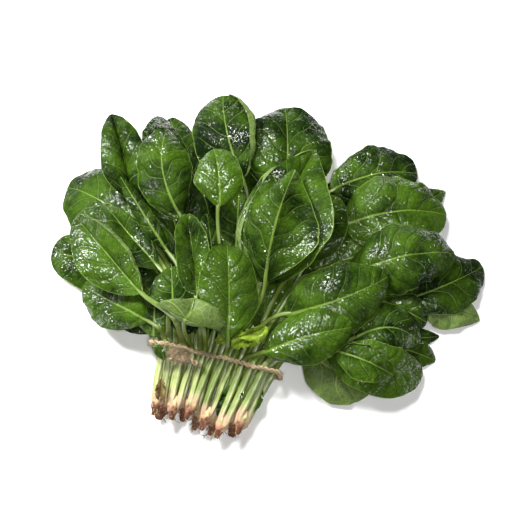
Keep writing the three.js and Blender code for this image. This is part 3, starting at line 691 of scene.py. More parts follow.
def blade_samples(leaf, fine):
    s, across = np.meshgrid(
        np.linspace(0.02, 0.995, int(leaf.length / fine * 1.1)),
        np.linspace(-1, 1, int(leaf.width / fine * 1.1)),
        indexing="ij",
    )
    s, across = s.ravel(), across.ravel()
    face, back = leaf.blade(s, across)
    is_under = face[:, 2:] < back[:, 2:]
    under, over = np.where(is_under, face, back), np.where(is_under, back, face)
    return under, over, leaf.net_place(s), leaf.net_across(s, across)


# ---- meshes
class Build:
    """Points and faces of one piece, with a map and a place attribute for its materials."""

    def __init__(self):
        self.points = []
        self.faces = []
        self.kinds = []
        self.maps = []
        self.places = []
        self.count = 0

    def add(self, points, faces, kind, corner_map, places):
        """corner_map has one (u, v) for each corner of each face, places one triple a point."""
        self.points.append(points)
        self.faces.extend(tuple(int(k) + self.count for k in face) for face in faces)
        self.kinds.extend([kind] * len(faces))
        self.maps.append(np.asarray(corner_map).reshape(-1, 2))
        self.places.append(places)
        self.count += len(points)

    def tube(self, rings, kind, lengths, colours, tone=0.5):
        """Rings of points (rings, round, 3) joined into a closed tube."""
        steps, around = rings.shape[:2]
        i, k = np.meshgrid(np.arange(steps - 1), np.arange(around), indexing="ij")
        m = (k + 1) % around
        low, high = i * around, (i + 1) * around
        quads = np.stack([low + k, low + m, high + m, high + k], -1)
        u = np.stack([k, k + 1, k + 1, k], -1) / around
        v = np.stack([lengths[i], lengths[i], lengths[i + 1], lengths[i + 1]], -1)
        corners = np.stack([u, v], -1).reshape(-1, 2)
        places = np.stack([
            np.tile(np.arange(around) / around, steps),
            np.repeat(colours, around),
            np.full(steps * around, tone),
        ], -1)
        self.add(rings.reshape(-1, 3), quads.reshape(-1, 4), kind, corners, places)
        first, last = self.count - steps * around, self.count - around
        ends = (first, range(around)[::-1], lengths[0]), (last, range(around), lengths[-1])
        for start, order, at in ends:
            self.faces.append(tuple(start + k for k in order))
            self.kinds.append(kind)
            self.maps.append(np.array([[k / around, at] for k in order]))

    def finish(self, name, cad_node, materials):
        mesh = bpy.data.meshes.new(name)
        mesh.from_pydata((np.concatenate(self.points) * MM).tolist(), [], self.faces)
        mesh.polygons.foreach_set("material_index", self.kinds)
        layer = mesh.uv_layers.new(name="surface_map")
        layer.data.foreach_set("uv", np.concatenate(self.maps).astype(np.float32).ravel())
        place = mesh.attributes.new("surface_place", "FLOAT_VECTOR", "POINT")
        place.data.foreach_set("vector", np.concatenate(self.places).astype(np.float32).ravel())
        for material in materials:
            mesh.materials.append(material)
        mesh.shade_smooth()
        mesh.update()
        piece = bpy.data.objects.new(name, mesh)
        bpy.context.scene.collection.objects.link(piece)
        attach(piece, BODY)
        if cad_node is not None:
            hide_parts(cad_node)
        return piece


def ring_round(centres, side, up, half_side, half_up, shape):
    """Rings about a path; shape is the radius factor at each of the round's angles."""
    angle = angles_round(len(shape))
    right = side[:, None] * (half_side[:, None] * np.cos(angle) * shape)[..., None]
    high = up[:, None] * (half_up[:, None] * np.sin(angle) * shape)[..., None]
    return centres[:, None] + right + high


def add_blade(build, leaf, net, tone, settings):
    """Both sides of a blade, closed along its margin."""
    step = settings.mesh_step / MM
    rows = max(18, int(leaf.length / step))
    half = max(9, int(leaf.width / step / 2))
    s_line = np.linspace(0.01, 0.992, rows)
    x_line = np.linspace(-1, 1, 2 * half + 1)
    s, across = (grid.ravel() for grid in np.meshgrid(s_line, x_line, indexing="ij"))
    lift = net_weights(leaf.net_place(s), leaf.net_across(s, across), leaf) @ net
    columns = len(x_line)
    i, j = np.meshgrid(np.arange(rows - 1), np.arange(columns - 1), indexing="ij")
    low, high = i * columns + j, (i + 1) * columns + j
    quads = np.stack([low, low + 1, high + 1, high], -1).reshape(-1, 4)
    hand = np.where(j.ravel() < half, -1.0, 1.0)[:, None]
    hands = np.where(across < 0, -1.0, 1.0)
    distance = across * leaf.half_width(s, hands)
    veins = leaf.vein_count((s * leaf.length)[quads], distance[quads], hand)
    corner_map = np.stack([distance[quads], veins], -1)
    places = np.stack([np.abs(across), s, np.full(len(s), tone)], -1)
    for face, points in zip((1, -1), leaf.blade(s, across)):
        points[:, 2] += lift
        kind = 0 if (face > 0) != leaf.flipped else 1
        order = [0, 1, 2, 3] if face > 0 else [3, 2, 1, 0]
        build.add(points, quads[:, order], kind, corner_map[:, order], places)
    count = rows * columns
    rim = list(range(columns)) + [i * columns + columns - 1 for i in range(1, rows)]
    rim += [(rows - 1) * columns + j for j in range(columns - 2, -1, -1)]
    rim += [i * columns for i in range(rows - 2, 0, -1)]
    following = rim[1:] + rim[:1]
    sides = [(b, a, a + count, b + count) for a, b in zip(rim, following)]
    flat = np.stack([distance, leaf.vein_count(s * leaf.length, distance, hands)], -1)
    build.faces.extend(sides)
    build.kinds.extend([0] * len(sides))
    build.maps.append(flat[np.array(sides) % count].reshape(-1, 2))
    merge_rim(build, rim, count)


def scrap_piece(scrap, net, number, materials, settings):
    build = Build()
    add_blade(build, scrap, net, scrap.random.uniform(0, 1), settings)
    return build.finish(f"leaf_scrap_{number:02d}", None, materials)


def leaf_piece(leaf, net, materials, settings):
    build = Build()
    # A leaf's tone: a random part, plus painted light and shade by its row and its place in the pile.
    tone = leaf.random.uniform(0, 0.35) + ROW_PAINTED_LIGHT[leaf.level] + OWN_PAINTED_LIGHT.get(leaf.index, 0)
    add_blade(build, leaf, net, tone, settings)
    centres, directions, sizes, t, colour = leaf.stem(STALK_STEP)
    wander, swell = leaf.uneven(len(centres))
    side, up = cross_frame(directions)
    centres = centres + side * (wander * np.clip(2 - colour, 0, 1) * leaf.girth)[:, None]
    centres[:, 2] += net_weights(t, np.zeros(len(t)), leaf) @ net
    angle = angles_round(16)
    groove = 0.2 * np.exp(-(((angle - math.pi / 2) / 0.45) ** 2))
    ribs = 1 - groove + 0.035 * np.cos(6 * angle + leaf.phase)
    rings = ring_round(centres, side, up, sizes[:, 0] * swell, sizes[:, 1] * swell, ribs)
    # Partly painted shade: stalks further right, away from the key lamp, are made greener and darker;
    # the rest follows the leaf's tone.
    stalk_tone_and_shade = tone * 0.6 + leaf.column / COLUMNS * 0.4
    build.tube(rings, 2, lengths_along(centres), colour, stalk_tone_and_shade)
    number = f"{leaf.index + 1:02d}"
    return build.finish(f"spinach_leaf_{number}", f"leaf_{number}", materials)


def merge_rim(build, rim, count):
    """Bring the two sides of a blade together along its margin."""
    upper, lower = build.points[0], build.points[1]
    middle = (upper[rim] + lower[rim]) / 2
    for points in (upper, lower):
        points[rim] = middle + (points[rim] - middle) * 0.3


# ---- twine
def twine_path(step):
    """The middle line of the twine's loop: a rounded rectangle round the stalks."""
    low = TWINE_RADIUS
    half_height = (TWINE_TOP - low) / 2
    corners = [(1, 1), (-1, 1), (-1, -1), (1, -1)]
    outline = []
    for index, (right, top) in enumerate(corners):
        for angle in (index + np.linspace(0, 1, 7)) * math.pi / 2:
            along = right * (TWINE_HALF_WIDTH - TWINE_CORNER) + TWINE_CORNER * math.cos(angle)
            rise = top * (half_height - TWINE_CORNER) + TWINE_CORNER * math.sin(angle)
            outline.append((along, low + half_height + rise))
    outline = np.array(outline + outline[:1])
    lengths = lengths_along(outline)
    place = np.linspace(0, lengths[-1], int(lengths[-1] / step), endpoint=False)
    along, height = (np.interp(place, lengths, outline[:, k]) for k in (0, 1))
    return from_tie(along, 0, height)


def lay_twine(pile):
    """Lay the loop down, and a mound that stands for the knot and its two ends."""
    path = twine_path(CELL / 2)
    for x in np.linspace(-1, 1, 5):
        pile.lay(path + TO_LEAVES * TWINE_RADIUS * x + UP * TWINE_RADIUS * math.sqrt(1 - x * x))
    angle, out = np.meshgrid(np.linspace(0, 2 * math.pi, 90), np.linspace(0, 1, 16))
    knot_half = (KNOT_LENGTH / 2 + 8, KNOT_RADIUS * 1.25, KNOT_RADIUS)
    along = KNOT_PLACE[0] + knot_half[0] * out * np.cos(angle)
    ahead = KNOT_PLACE[1] + knot_half[1] * out * np.sin(angle)
    height = KNOT_PLACE[2] + knot_half[2] * (1 - out**2)
    pile.lay(from_tie(along, ahead, height).reshape(-1, 3))


def plies(build, path, closed, settings, random, unravel=None):
    """Twisted plies about a path, each a tube; unravel spreads them towards the path's end."""
    radius = settings.ply_radius / MM
    lengths = lengths_along(path)
    if closed:
        direction = unit(np.roll(path, -1, 0) - np.roll(path, 1, 0))
    else:
        direction = unit(np.gradient(path, axis=0))
    first = unit(np.cross(direction, TO_LEAVES + UP * 1e-3))
    second = np.cross(direction, first)
    total = lengths[-1] + (np.linalg.norm(path[0] - path[-1]) if closed else 0)
    twists = max(1, round(total / (settings.twist_length / MM)))
    turn = lengths / total * twists * 2 * math.pi
    apart = radius * 0.82 * (np.ones(len(path)) if unravel is None else unravel)
    for ply in range(PLY_COUNT):
        angle = turn + ply * 2 * math.pi / PLY_COUNT
        out = first * np.cos(angle)[:, None] + second * np.sin(angle)[:, None]
        centre = path + out * apart[:, None]
        rough = random.normal(0, 0.03, len(path))
        swell = radius * (1 + 0.1 * np.sin(lengths * 1.3 + ply * 2) + rough)
        shape = 1 + 0.06 * np.cos(4 * angles_round(10))
        rings = ring_round(centre, first, second, swell, swell, shape)
        if closed:
            rings = np.concatenate([rings, rings[:1]])
        long = np.append(lengths, total) if closed else lengths
        build.tube(rings, 0, long, long / total, ply * 0.4 + 0.3)


def hair(build, start, direction, length, random, radius=0.09, curl=0.35):
    """One loose fibre: a thin tapering tube that wanders."""
    steps = 6
    points = [np.array(start)]
    heading = unit(np.array(direction))
    for _ in range(steps - 1):
        heading = unit(heading + random.normal(0, curl, 3) + UP * -0.04)
        points.append(points[-1] + heading * length / (steps - 1))
    path = np.array(points)
    path[:, 2] = np.maximum(path[:, 2], LOWEST_HAIR)
    along = unit(np.gradient(path, axis=0))
    first = unit(np.cross(along, UP + np.array([0.01, 0.02, 0])))
    second = np.cross(along, first)
    taper = radius * np.linspace(1, 0.35, steps)
    rings = ring_round(path, first, second, taper, taper, np.ones(3))
    lengths = np.linspace(0, length, steps)
    build.tube(rings, 0, lengths, np.linspace(0, 1, steps), random.uniform(0, 1))


def twine_loop_piece(material, settings):
    build = Build()
    random = np.random.default_rng(7)
    path = twine_path(TWINE_STEP)
    wobble = angles_round(len(path))
    path = path + TO_LEAVES * (0.35 * np.sin(7 * wobble) + 0.25 * np.sin(17 * wobble))[:, None]
    path[:, 2] += 0.25 * np.sin(12 * wobble) * (path[:, 2] > TWINE_TOP - 1)
    plies(build, path, True, settings, random)
    centre = path.mean(0)
    for _ in range(LOOP_HAIRS):
        k = random.integers(len(path))
        along = unit(path[(k + 1) % len(path)] - path[k]) * random.choice([-1, 1])
        out = unit(np.cross(along, random.normal(0, 1, 3)))
        if out @ (path[k] - centre) < 0 and random.uniform() < 0.7:
            out = -out
        length = settings.hair_length / MM * random.uniform(0.25, 1)
        hair(build, path[k] + out * 1.3, along * 1.4 + out * 0.7, length, random)
    return build.finish("jute_twine_loop", "twine_loop", [material])


def knot_piece(material, settings):
    """An overhand knot drawn tight, with its fibres fluffed up."""
    build = Build()
    random = np.random.default_rng(11)
    centre = from_tie(*KNOT_PLACE)
    for lobe in range(3):
        angle = angles_round(46)
        tilt = 0.5 + lobe * 1.05
        along = (KNOT_LENGTH * 0.5 - 2.2) * (0.30 + 0.05 * lobe) * np.cos(angle) + (lobe - 1) * 3.9
        ahead = 2.6 * np.cos(angle + tilt) + 0.4 * np.sin(2 * angle)
        height = 1.75 * np.sin(angle) + 0.3 * np.cos(3 * angle + lobe)
        path = centre + along[:, None] * ALONG_TIE + ahead[:, None] * TO_LEAVES
        path = path + height[:, None] * UP
        plies(build, path, True, settings, random)
    for _ in range(KNOT_HAIRS):
        way = unit(random.normal(0, 1, 3))
        way[2] = abs(way[2])
        axes = zip((ALONG_TIE, TO_LEAVES, UP), way, (KNOT_LENGTH * 0.42, 3.4, 2.5))
        offset = sum(axis * share * reach for axis, share, reach in axes)
        way = unit(offset * np.array([0.6, 1, 0.8]) - TO_LEAVES * 0.8 + random.normal(0, 1.2, 3))
        hair(build, centre + offset, way, random.uniform(2.5, 6.5), random, 0.15, 0.45)
    return build.finish("jute_twine_knot", "twine_knot", [material])


def tail_piece(material, settings, hand, name):
    """A short end of the twine, unravelled into its fibres."""
    build = Build()
    random = np.random.default_rng(23 + hand)
    s = np.linspace(0, 1, 14)
    along = KNOT_PLACE[0] + hand * (KNOT_LENGTH / 2 - 2.5 + 9 * s)
    ahead = KNOT_PLACE[1] - 3.2 * s * s
    path = from_tie(along, ahead, KNOT_PLACE[2] - 1 + hand * 0.4 * s)
    plies(build, path, False, settings, random, unravel=1 + 0.8 * s)
    for _ in range(END_HAIRS):
        k = random.integers(5, len(path))
        way = unit(ALONG_TIE * hand - TO_LEAVES * 0.5 + random.normal(0, 0.55, 3))
        start = path[k] + random.normal(0, 0.5, 3)
        hair(build, start, way, random.uniform(2, 5.5), random, 0.12, 0.3)
    return build.finish(f"jute_{name}", name, [material])


# ---- crowns
def crown_piece(crown, material, settings, seed):
    """A cut root crown: a lumpy cap that gathers the stalks, a root stub and broken rootlets."""
    build = Build()
    random = np.random.default_rng(seed)
    steps, around = 34, 40
    back = np.linspace(CROWN_PLACES[0], CROWN_PLACES[-1], steps)
    size = np.interp(back, CROWN_PLACES, CROWN_SIZES)
    b, a = np.meshgrid(back, angles_round(around), indexing="ij")
    lumps = 1 + 0 * a
    for _ in range(9):
        ka, kb = random.integers(1, 6), random.uniform(0.2, 1.2)
        lumps += random.uniform(0.01, 0.035) * np.sin(ka * a + kb * b + random.uniform(0, 6))
    sheaths = 1 + 0.13 * np.cos(random.integers(5, 8) * a) * smooth((7 - b) / 6)
    rough = 1 + random.normal(0, 0.012, a.shape)
    factor = size[:, None] * lumps * sheaths * rough
    bend = random.normal(0, 1.2, 2)
    drift = smooth((back - 4) / 10)
    centres = crown.centre - crown.axis * back[:, None]
    centres += crown.side * (bend[0] * drift)[:, None] + crown.up * (bend[1] * 0.4 * drift)[:, None]
    right = crown.side * (crown.half_across * factor * np.cos(a))[..., None]
    high = crown.up * (CROWN_HALF_HEIGHT * factor * np.sin(a))[..., None]
    rings = centres[:, None] + right + high
    rings[..., 2] = np.maximum(rings[..., 2], LOWEST_CROWN)
    lengths = back - back[0]
    build.tube(rings, 0, lengths, np.clip(lengths / lengths[-1], 0, 1))
    longest = settings.rootlet_length / MM
    for _ in range(ROOTLETS):
        at = random.uniform(5, CROWN_LENGTH)
        turn = random.uniform(0, 2 * math.pi)
        scale = np.interp(at, CROWN_PLACES, CROWN_SIZES)
        out = crown.side * math.cos(turn) * crown.half_across
        out = out + crown.up * math.sin(turn) * CROWN_HALF_HEIGHT
        start = crown.centre - crown.axis * at + out * scale * 0.9
        start[2] = max(start[2], LOWEST_ROOTLET)
        way = unit(unit(out) * 0.8 - crown.axis * 0.9)
        length = longest * random.uniform(0.2, 1)
        hair(build, start, way, length, random, random.uniform(0.2, 0.5), 0.25)
    return build.finish(f"root_crown_{crown.name}", f"crown_{crown.name}", [material])


# ---- materials
SMOOTH = {"interpolation_type": "SMOOTHSTEP"}
EVEN = {"interpolation_type": "LINEAR"}


def node(tree, kind, inputs=(), output=0, **settings):
    """Add a node, set its properties, fill or link its inputs, and give back one output."""
    made = tree.nodes.new("ShaderNode" + kind)
    for key, value in settings.items():
        setattr(made, key, value)
    for key, value in inputs.items() if isinstance(inputs, dict) else enumerate(inputs):
        if isinstance(value, bpy.types.NodeSocket):
            tree.links.new(value, made.inputs[key])
        else:
            made.inputs[key].default_value = value
    return made.outputs[output] if made.outputs else made


def new_material(name):
    """An empty material, and the function above for its own tree."""
    material = bpy.data.materials.new(name)
    material.use_nodes = True
    material.node_tree.nodes.clear()
    return material, partial(node, material.node_tree)


def scaled(colour, factor):
    """A colour made darker or lighter."""
    return [min(1, c * factor) for c in colour]


def surface_inputs(add):
    """The map's u and v, and the place attribute's three values."""
    mapped = add("UVMap", uv_map="surface_map")
    place = add("Attribute", output="Vector", attribute_name="surface_place")
    axes = (mapped, "X"), (mapped, "Y"), (place, "X"), (place, "Y"), (place, "Z")
    return [add("SeparateXYZ", [vector], axis) for vector, axis in axes]


def pattern(add, millimetres, detail=2.0, where=None):
    """Noise whose features are about this size on the real thing."""
    where = where or add("TexCoord", output="Object")
    inputs = {"Vector": where, "Scale": 1 / (millimetres * MM), "Detail": detail}
    return add("TexNoise", inputs)


def lengthwise(add, around, length, girth, stretch, third=0.0):
    """Place for features that run lengthwise: girth in mm, and the share of the length kept."""
    right = add("Math", [around, girth * MM], operation="MULTIPLY")
    ahead = add("Math", [length, stretch * MM], operation="MULTIPLY")
    return add("CombineXYZ", [right, ahead, third])


def total(add, *parts):
    """The sum of some values, each times its share."""
    result = 0.0
    for value, share in parts:
        result = add("Math", [value, share, result], operation="MULTIPLY_ADD")
    return result


def layered(add, colour, *layers):
    """Colours laid over one another. Each layer has a value, the way it is followed, the two
    values between which the layer changes, its strength at each of them, and its colour."""
    colour = (*colour, 1)
    for value, way, *span, over in layers:
        strength = add("MapRange", [value, *span], **way)
        colour = add("Mix", {0: strength, 6: colour, 7: (*over, 1)}, 2, data_type="RGBA")
    return colour


def shade(add, colour, roughness, reliefs, **inputs):
    """The shader and the output; an underscore in a name stands for a space. A relief is the
    name of a normal, a height, how many mm it rises where that is 1, and its strength."""
    for name, height, rise, strength in reliefs:
        bump = {"Height": height, "Distance": rise * MM, "Strength": strength}
        inputs[name] = add("Bump", bump)
    named = {key.replace("_", " "): value for key, value in inputs.items()}
    shader = add("BsdfPrincipled", {"Base Color": colour, "Roughness": roughness, **named})
    add("OutputMaterial", [shader])


def vein_masks(add, settings):
    """Midrib, side veins, the fine net between them, and what is needed to colour them."""
    across, count, share, along, tone = surface_inputs(add)
    thin = add("MapRange", [along, 0, 1, 1.1, 0.22], **SMOOTH)
    away = add("Math", [across], operation="ABSOLUTE")
    away = add("Math", [away, thin], operation="DIVIDE")
    from_vein = add("Math", [count, 0.5], operation="PINGPONG")
    spacing = settings.vein_spacing / MM * 0.8
    from_vein = add("Math", [from_vein, spacing], operation="MULTIPLY")
    side = add("MapRange", [from_vein, 0.1, 0.55, 1, 0], **SMOOTH)
    faint = add("MapRange", [share, 0.55, 1.0, 1, 0.15], **SMOOTH)
    where = add("TexCoord", output="Object")
    apart, stray = VEIN_NET_BENDS
    bend = add("TexNoise", {"Vector": where, "Scale": 1 / (apart * MM)}, "Color")
    bent = add("VectorMath", [bend, (stray * MM,) * 3, where], operation="MULTIPLY_ADD")
    nets = [{"Vector": bent, "Scale": 1 / (mesh * MM)} for mesh in VEIN_NET_MESHES]
    coarse, fine = (add("TexVoronoi", net, feature="DISTANCE_TO_EDGE") for net in nets)
    return SimpleNamespace(
        midrib=add("MapRange", [away, 0.45, 1.1, 1, 0], **SMOOTH),
        side=add("Math", [side, faint], operation="MULTIPLY"),
        valley=add("MapRange", [from_vein, 0.2, 3.0, 0, 1], **SMOOTH),
        coarse=coarse,
        fine=fine,
        share=share,
        tone=tone,
    )


def wet_leaf_upper(settings, name, green, deep):
    """Spinach leaf, upper side: a waxy, wet blade, blistered between sunken veins. The wax and
    water give small sharp sparkles over a deep green."""
    material, add = new_material(name)
    veins = vein_masks(add, settings)
    # The clouds follow the leaf's tone, so they carry its painted light and shade from the pile as well
    # as random change.
    clouds = total(add, (pattern(add, LEAF_CLOUDS, 3), 1), (veins.tone, 0.3))
    small = pattern(add, LEAF_GRAIN, 4)
    pale = settings.vein_green
    colour = layered(
        add,
        deep,
        (clouds, SMOOTH, 0.4, 0.85, 0, 1, green),
        # Painted shade: the sunken net of small veins is darkened.
        (veins.coarse, SMOOTH, 0, 0.12, 0.35, 0, deep),
        (small, SMOOTH, 0.5, 0.8, 0, 0.28, scaled(green, 1.7)),
        # Painted shade: the sunken strips beside the side veins are darkened.
        (veins.valley, SMOOTH, 0, 0.5, 0.35, 0, deep),
        (veins.side, EVEN, 0, 1, 0, 0.25, pale),
        (veins.midrib, EVEN, 0, 1, 0, 0.5, pale),
        # Painted light: a pale band along the margin, for light shining through the thin edge.
        (veins.share, SMOOTH, 0.965, 1.0, 0, 0.6, pale),
    )
    net = add("MapRange", [veins.coarse, 0, 0.3, 0, 0.5], **SMOOTH)
    finest = add("MapRange", [veins.fine, 0, 0.4, 0, 0.16], **SMOOTH)
    height = total(add, (net, 1), (finest, 1), (small, 0.4), (veins.valley, 0.8))
    # The water is a rippled film that lies in specks, which break up the shine.
    film = total(add, (height, 1), (pattern(add, FILM_RIPPLES), 1.6))
    specks, patches = pattern(add, WATER_SPECKS), pattern(add, WET_PATCHES)
    wetness = total(add, (specks, 1), (patches, 1.1), (veins.tone, 0.06))
    gloss = pattern(add, GLOSS_PATCHES, 3)
    shade(
        add,
        colour,
        add("MapRange", [gloss, 0.35, 0.65, 0.42, 0.6], **SMOOTH),
        [("Normal", height, 0.5, 0.7), ("Coat_Normal", film, 0.7, 0.8)],
        Coat_Weight=add("MapRange", [wetness, 1.07, 1.18, 0.02, 1], **SMOOTH),
        Coat_Roughness=0.09,
        Specular_IOR_Level=0.04,
        IOR=1.42,
    )
    return material


def dull_leaf_under(settings, name, green):
    """Spinach leaf, underside: duller and greyer, with raised veins, and hardly any gloss."""
    material, add = new_material(name)
    veins = vein_masks(add, settings)
    pale = settings.vein_green
    colour = layered(
        add,
        scaled(green, 0.5),
        (pattern(add, 18, 3), SMOOTH, 0.3, 0.7, 0, 1, green),
        (veins.coarse, SMOOTH, 0, 0.12, 0.35, 0, pale),
        (veins.side, EVEN, 0, 1, 0, 0.7, scaled(pale, 1.2)),
        (veins.midrib, EVEN, 0, 1, 0, 0.9, pale),
    )
    net = add("MapRange", [veins.coarse, 0, 0.2, 0.5, 0], **SMOOTH)
    height = total(add, (veins.side, 1), (net, 1), (pattern(add, 1.6, 3), 0.5))
    relief = [("Normal", height, 0.4, 0.7)]
    shade(add, colour, 0.58, relief, Specular_IOR_Level=0.4, IOR=1.42)
    return material


def juicy_stalk(settings):
    """Spinach stalk: firm and juicy, ribbed lengthwise, white to pink at the foot and greener towards
    the blade, with painted shade that darkens its sides and underside. The ribs give long soft
    highlights."""
    material, add = new_material("spinach_stalk_ribbed")
    around, length, _, along, tone = surface_inputs(add)
    # Fibres run lengthwise, about 0.7 mm apart and some 12 mm long.
    fibres = pattern(add, 0.8, 2, lengthwise(add, around, length, 18, 0.06, tone))
    patches = pattern(add, 9, 3)
    # The tone makes a stalk greener, and it carries the painted shade of the stalks to the right.
    greener = total(add, (along, 1), (tone, 0.42), (patches, 0.5))
    foot = total(add, (along, 1), (patches, 0.06))
    # Painted shade: the stalk is darkened away from its top, down its sides and underneath.
    side_shade = add("Math", [around, 0.25], operation="SUBTRACT")
    side_shade = add("Math", [side_shade], operation="ABSOLUTE")
    fibre_and_shade_green = scaled(settings.stalk_green, 0.5)
    colour = layered(
        add,
        settings.stalk_pale,
        (greener, SMOOTH, 0.3, 0.87, 0, 1, settings.stalk_green),
        (along, SMOOTH, 0.55, 1.0, 0, 0.85, scaled(settings.vein_green, 0.6)),
        (fibres, SMOOTH, 0.42, 0.72, 0, 0.45, fibre_and_shade_green),
        (side_shade, SMOOTH, 0.08, 0.24, 0, 0.7, fibre_and_shade_green),
        (foot, SMOOTH, 0.03, 0.1, 0.7, 0, settings.stalk_pink),
    )
    shade(
        add,
        colour,
        add("MapRange", [patches, 0.3, 0.7, 0.3, 0.45], **SMOOTH),
        [("Normal", fibres, 0.25, 0.6)],
        Coat_Weight=0.2,
        Coat_Roughness=0.2,
        Specular_IOR_Level=0.5,
        IOR=1.4,
        Subsurface_Weight=0.12,
        Subsurface_Radius=(0.9, 1.0, 0.4),
        Subsurface_Scale=1.2 * MM,
    )
    return material


def earthy_crown(settings):
    """Root crown: torn off the root, fibrous, pink skin with dry brown flakes and a little earth,
    so it is matt and rough."""
    material, add = new_material("root_crown_fibrous")
    around, length, _, along, _ = surface_inputs(add)
    fibres = pattern(add, 1.0, 4, lengthwise(add, around, length, 30, 0.25))
    flakes = pattern(add, 3.5, 5)
    earthy = total(add, (flakes, 0.8), (along, 0.5))
    colour = layered(
        add,
        settings.crown_pale,
        (along, SMOOTH, 0.3, 0.6, 0, 1, settings.crown_pink),
        (earthy, SMOOTH, 0.6, 0.8, 0, 1, settings.crown_earth),
        (fibres, SMOOTH, 0.52, 0.75, 0, 0.7, scaled(settings.crown_earth, 0.4)),
    )
    relief = [("Normal", total(add, (fibres, 1), (flakes, 1)), 0.7, 0.9)]
    shade(add, colour, 0.72, relief, Specular_IOR_Level=0.35)
    return material


def spun_jute(settings):
    """Jute twine: two plies of coarse bast fibre, spun and hairy, which scatter light, so it is
    quite matt with fine streaks along the spin."""
    material, add = new_material("jute_twine_spun")
    around, length, _, _, tone = surface_inputs(add)
    # Fibres lie slantwise round a ply, about 0.25 mm apart: drawn 0.4 mm so that they show.
    slant = total(add, (around, 1), (length, 0.12))
    fibres = pattern(add, 0.4, 3, lengthwise(add, slant, length, 7, 0.09, tone))
    colour = layered(
        add,
        settings.jute_dark,
        (fibres, SMOOTH, 0.35, 0.65, 0, 1, settings.jute),
        (pattern(add, 6, 3), SMOOTH, 0.45, 0.7, 0, 0.6, scaled(settings.jute, 1.35)),
    )
    relief = [("Normal", fibres, 0.25, 0.9)]
    shade(add, colour, 0.85, relief, Specular_IOR_Level=0.25, Sheen_Weight=0.15)
    return material


def painted_floor(settings):
    """Studio surface: matt painted board, with a trace of unevenness."""
    material, add = new_material("studio_board_matt")
    light = settings.floor
    colour = layered(add, scaled(light, 0.985), (pattern(add, 60), EVEN, 0, 1, 0, 1, light))
    shade(add, colour, 0.9, [], Specular_IOR_Level=0.2)
    return material


# ---- operators
class SPINACH_OT_leaves(bpy.types.Operator):
    """Lay the leaves on one another, each with its stalk"""

    bl_idname = "spinach.make_leaves"
    bl_label = "Leaves"

    def execute(self, context):
        settings = context.scene.spinach_leaves
        stalk = juicy_stalk(settings)
        under = dull_leaf_under(settings, "spinach_leaf_under_dull", settings.under_green)
        upper = wet_leaf_upper(
            settings, "spinach_leaf_upper_wet", settings.upper_green, settings.upper_deep
        )
        young_deep = scaled(settings.young_green, 0.3)
        young = [
            wet_leaf_upper(settings, "spinach_young_leaf_upper", settings.young_green, young_deep),
            dull_leaf_under(settings, "spinach_young_leaf_under", settings.young_green),
        ]
        pile = Pile()
        lay_twine(pile)
        withered = dull_leaf_under(settings, "spinach_leaf_withered", settings.withered)
        looks = {"leaf": [upper, under], "young": young, "old": [withered, withered]}
        for index, row in enumerate(LEAVES):
            self.lay_scraps(pile, index, looks, settings)
            leaf = Leaf(row, index, settings)
            net = pile.settle(leaf)
            sides = young if index == YOUNG_LEAF else [upper, under]
            leaf_piece(leaf, net, [*sides, stalk], settings)
        self.lay_scraps(pile, len(LEAVES), looks, settings)
        return {"FINISHED"}

    def lay_scraps(self, pile, index, looks, settings):
        """The scraps that go just under the leaf at this place in the pile."""
        for number, (look, place, (*shape, outline, ruffle)) in enumerate(SCRAPS, 1):
            if place == index:
                row = [*shape, FLAT, outline, ruffle]
                scrap = Leaf(row, len(LEAVES) + number, settings)
                scrap_piece(scrap, pile.rest(scrap), number, looks[look], settings)


class SPINACH_OT_crowns(bpy.types.Operator):
    """Make the root crowns that hold the stalks"""

    bl_idname = "spinach.make_crowns"
    bl_label = "Root crowns"

    def execute(self, context):
        settings = context.scene.spinach_crowns
        material = earthy_crown(settings)
        for index, crown in enumerate(all_crowns()):
            crown_piece(crown, material, settings, 40 + index)
        return {"FINISHED"}


class SPINACH_OT_twine(bpy.types.Operator):
    """Tie the jute twine round the stalks"""

    bl_idname = "spinach.make_twine"
    bl_label = "Twine"

    def execute(self, context):
        settings = context.scene.spinach_twine
        material = spun_jute(settings)
        twine_loop_piece(material, settings)
        knot_piece(material, settings)
        tail_piece(material, settings, -1, "twine_end_left")
        tail_piece(material, settings, 1, "twine_end_right")
        return {"FINISHED"}


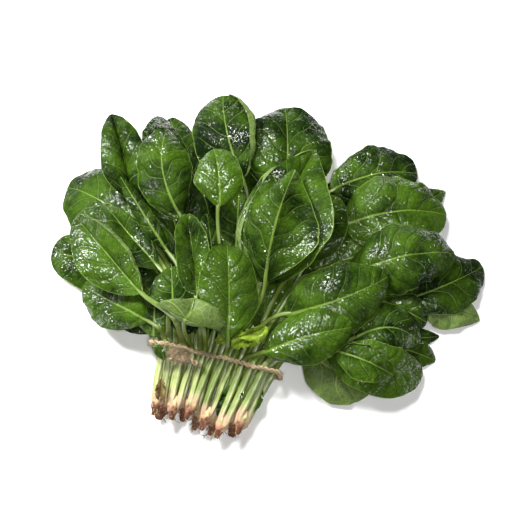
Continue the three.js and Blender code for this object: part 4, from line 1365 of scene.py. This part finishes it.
class SPINACH_OT_stage(bpy.types.Operator):
    """Make the pale floor, the soft light and the camera"""

    bl_idname = "spinach.make_stage"
    bl_label = "Stage"

    def execute(self, context):
        settings = context.scene.spinach_stage
        scene = context.scene
        mesh = bpy.data.meshes.new("studio_floor")
        corners = [(-1, -1), (1, -1), (1, 1), (-1, 1)]
        points = [(x * FLOOR_REACH, y * FLOOR_REACH, FLOOR_LEVEL) for x, y in corners]
        mesh.from_pydata(points, [], [(0, 1, 2, 3)])
        mesh.materials.append(painted_floor(settings))
        floor = bpy.data.objects.new("studio_floor", mesh)
        scene.collection.objects.link(floor)
        floor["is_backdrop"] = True

        aim = Vector((0, settings.aim_forward, settings.aim_height))
        for name, place, size, power, share in LAMPS:
            data = bpy.data.lights.new(name, "AREA")
            data.size = size
            data.energy = getattr(settings, power) * share
            lamp = bpy.data.objects.new(name, data)
            lamp.location = place
            lamp.rotation_euler = (aim - Vector(place)).to_track_quat("-Z", "Y").to_euler()
            scene.collection.objects.link(lamp)

        world = bpy.data.worlds.new("studio")
        world.use_nodes = True
        sky = world.node_tree.nodes["Background"].inputs
        sky["Color"].default_value = (1, 1, 1, 1)
        sky["Strength"].default_value = settings.sky
        scene.world = world

        data = bpy.data.cameras.new("camera")
        data.lens = settings.lens
        camera = bpy.data.objects.new("camera", data)
        scene.collection.objects.link(camera)
        back = Vector((0, -math.cos(settings.elevation), math.sin(settings.elevation)))
        camera.location = aim + back * settings.distance
        camera.rotation_euler = (-back).to_track_quat("-Z", "Y").to_euler()
        scene.camera = camera
        scene.view_settings.view_transform = "Standard"
        return {"FINISHED"}


class SPINACH_PT_bunch(bpy.types.Panel):
    bl_idname = "SPINACH_PT_bunch"
    bl_label = "Spinach bunch"
    bl_space_type = "VIEW_3D"
    bl_region_type = "UI"
    bl_category = "Spinach"

    def draw(self, context):
        for name, _, operator in STEPS:
            box = self.layout.box()
            settings = getattr(context.scene, name)
            for key in settings.__annotations__:
                box.prop(settings, key)
            box.operator(operator.bl_idname)


STEPS = [
    ("spinach_leaves", SpinachLeafSettings, SPINACH_OT_leaves),
    ("spinach_crowns", SpinachCrownSettings, SPINACH_OT_crowns),
    ("spinach_twine", JuteTwineSettings, SPINACH_OT_twine),
    ("spinach_stage", SpinachStageSettings, SPINACH_OT_stage),
]
CLASSES = [kind for _, *kinds in STEPS for kind in kinds] + [SPINACH_PT_bunch]


def register():
    for kind in CLASSES:
        bpy.utils.register_class(kind)
    for name, group, _ in STEPS:
        setattr(bpy.types.Scene, name, bpy.props.PointerProperty(type=group))


def unregister():
    for name, _, _ in STEPS:
        delattr(bpy.types.Scene, name)
    for kind in reversed(CLASSES):
        bpy.utils.unregister_class(kind)


def main():
    register()
    bpy.ops.spinach.make_leaves()
    bpy.ops.spinach.make_crowns()
    bpy.ops.spinach.make_twine()
    bpy.ops.spinach.make_stage()
    boxes = {"cad": CAD_BOX, "visual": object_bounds()}
    sizes = {name: [list(corner) for corner in box] for name, box in boxes.items()}


if __name__ == "__main__":
    main()
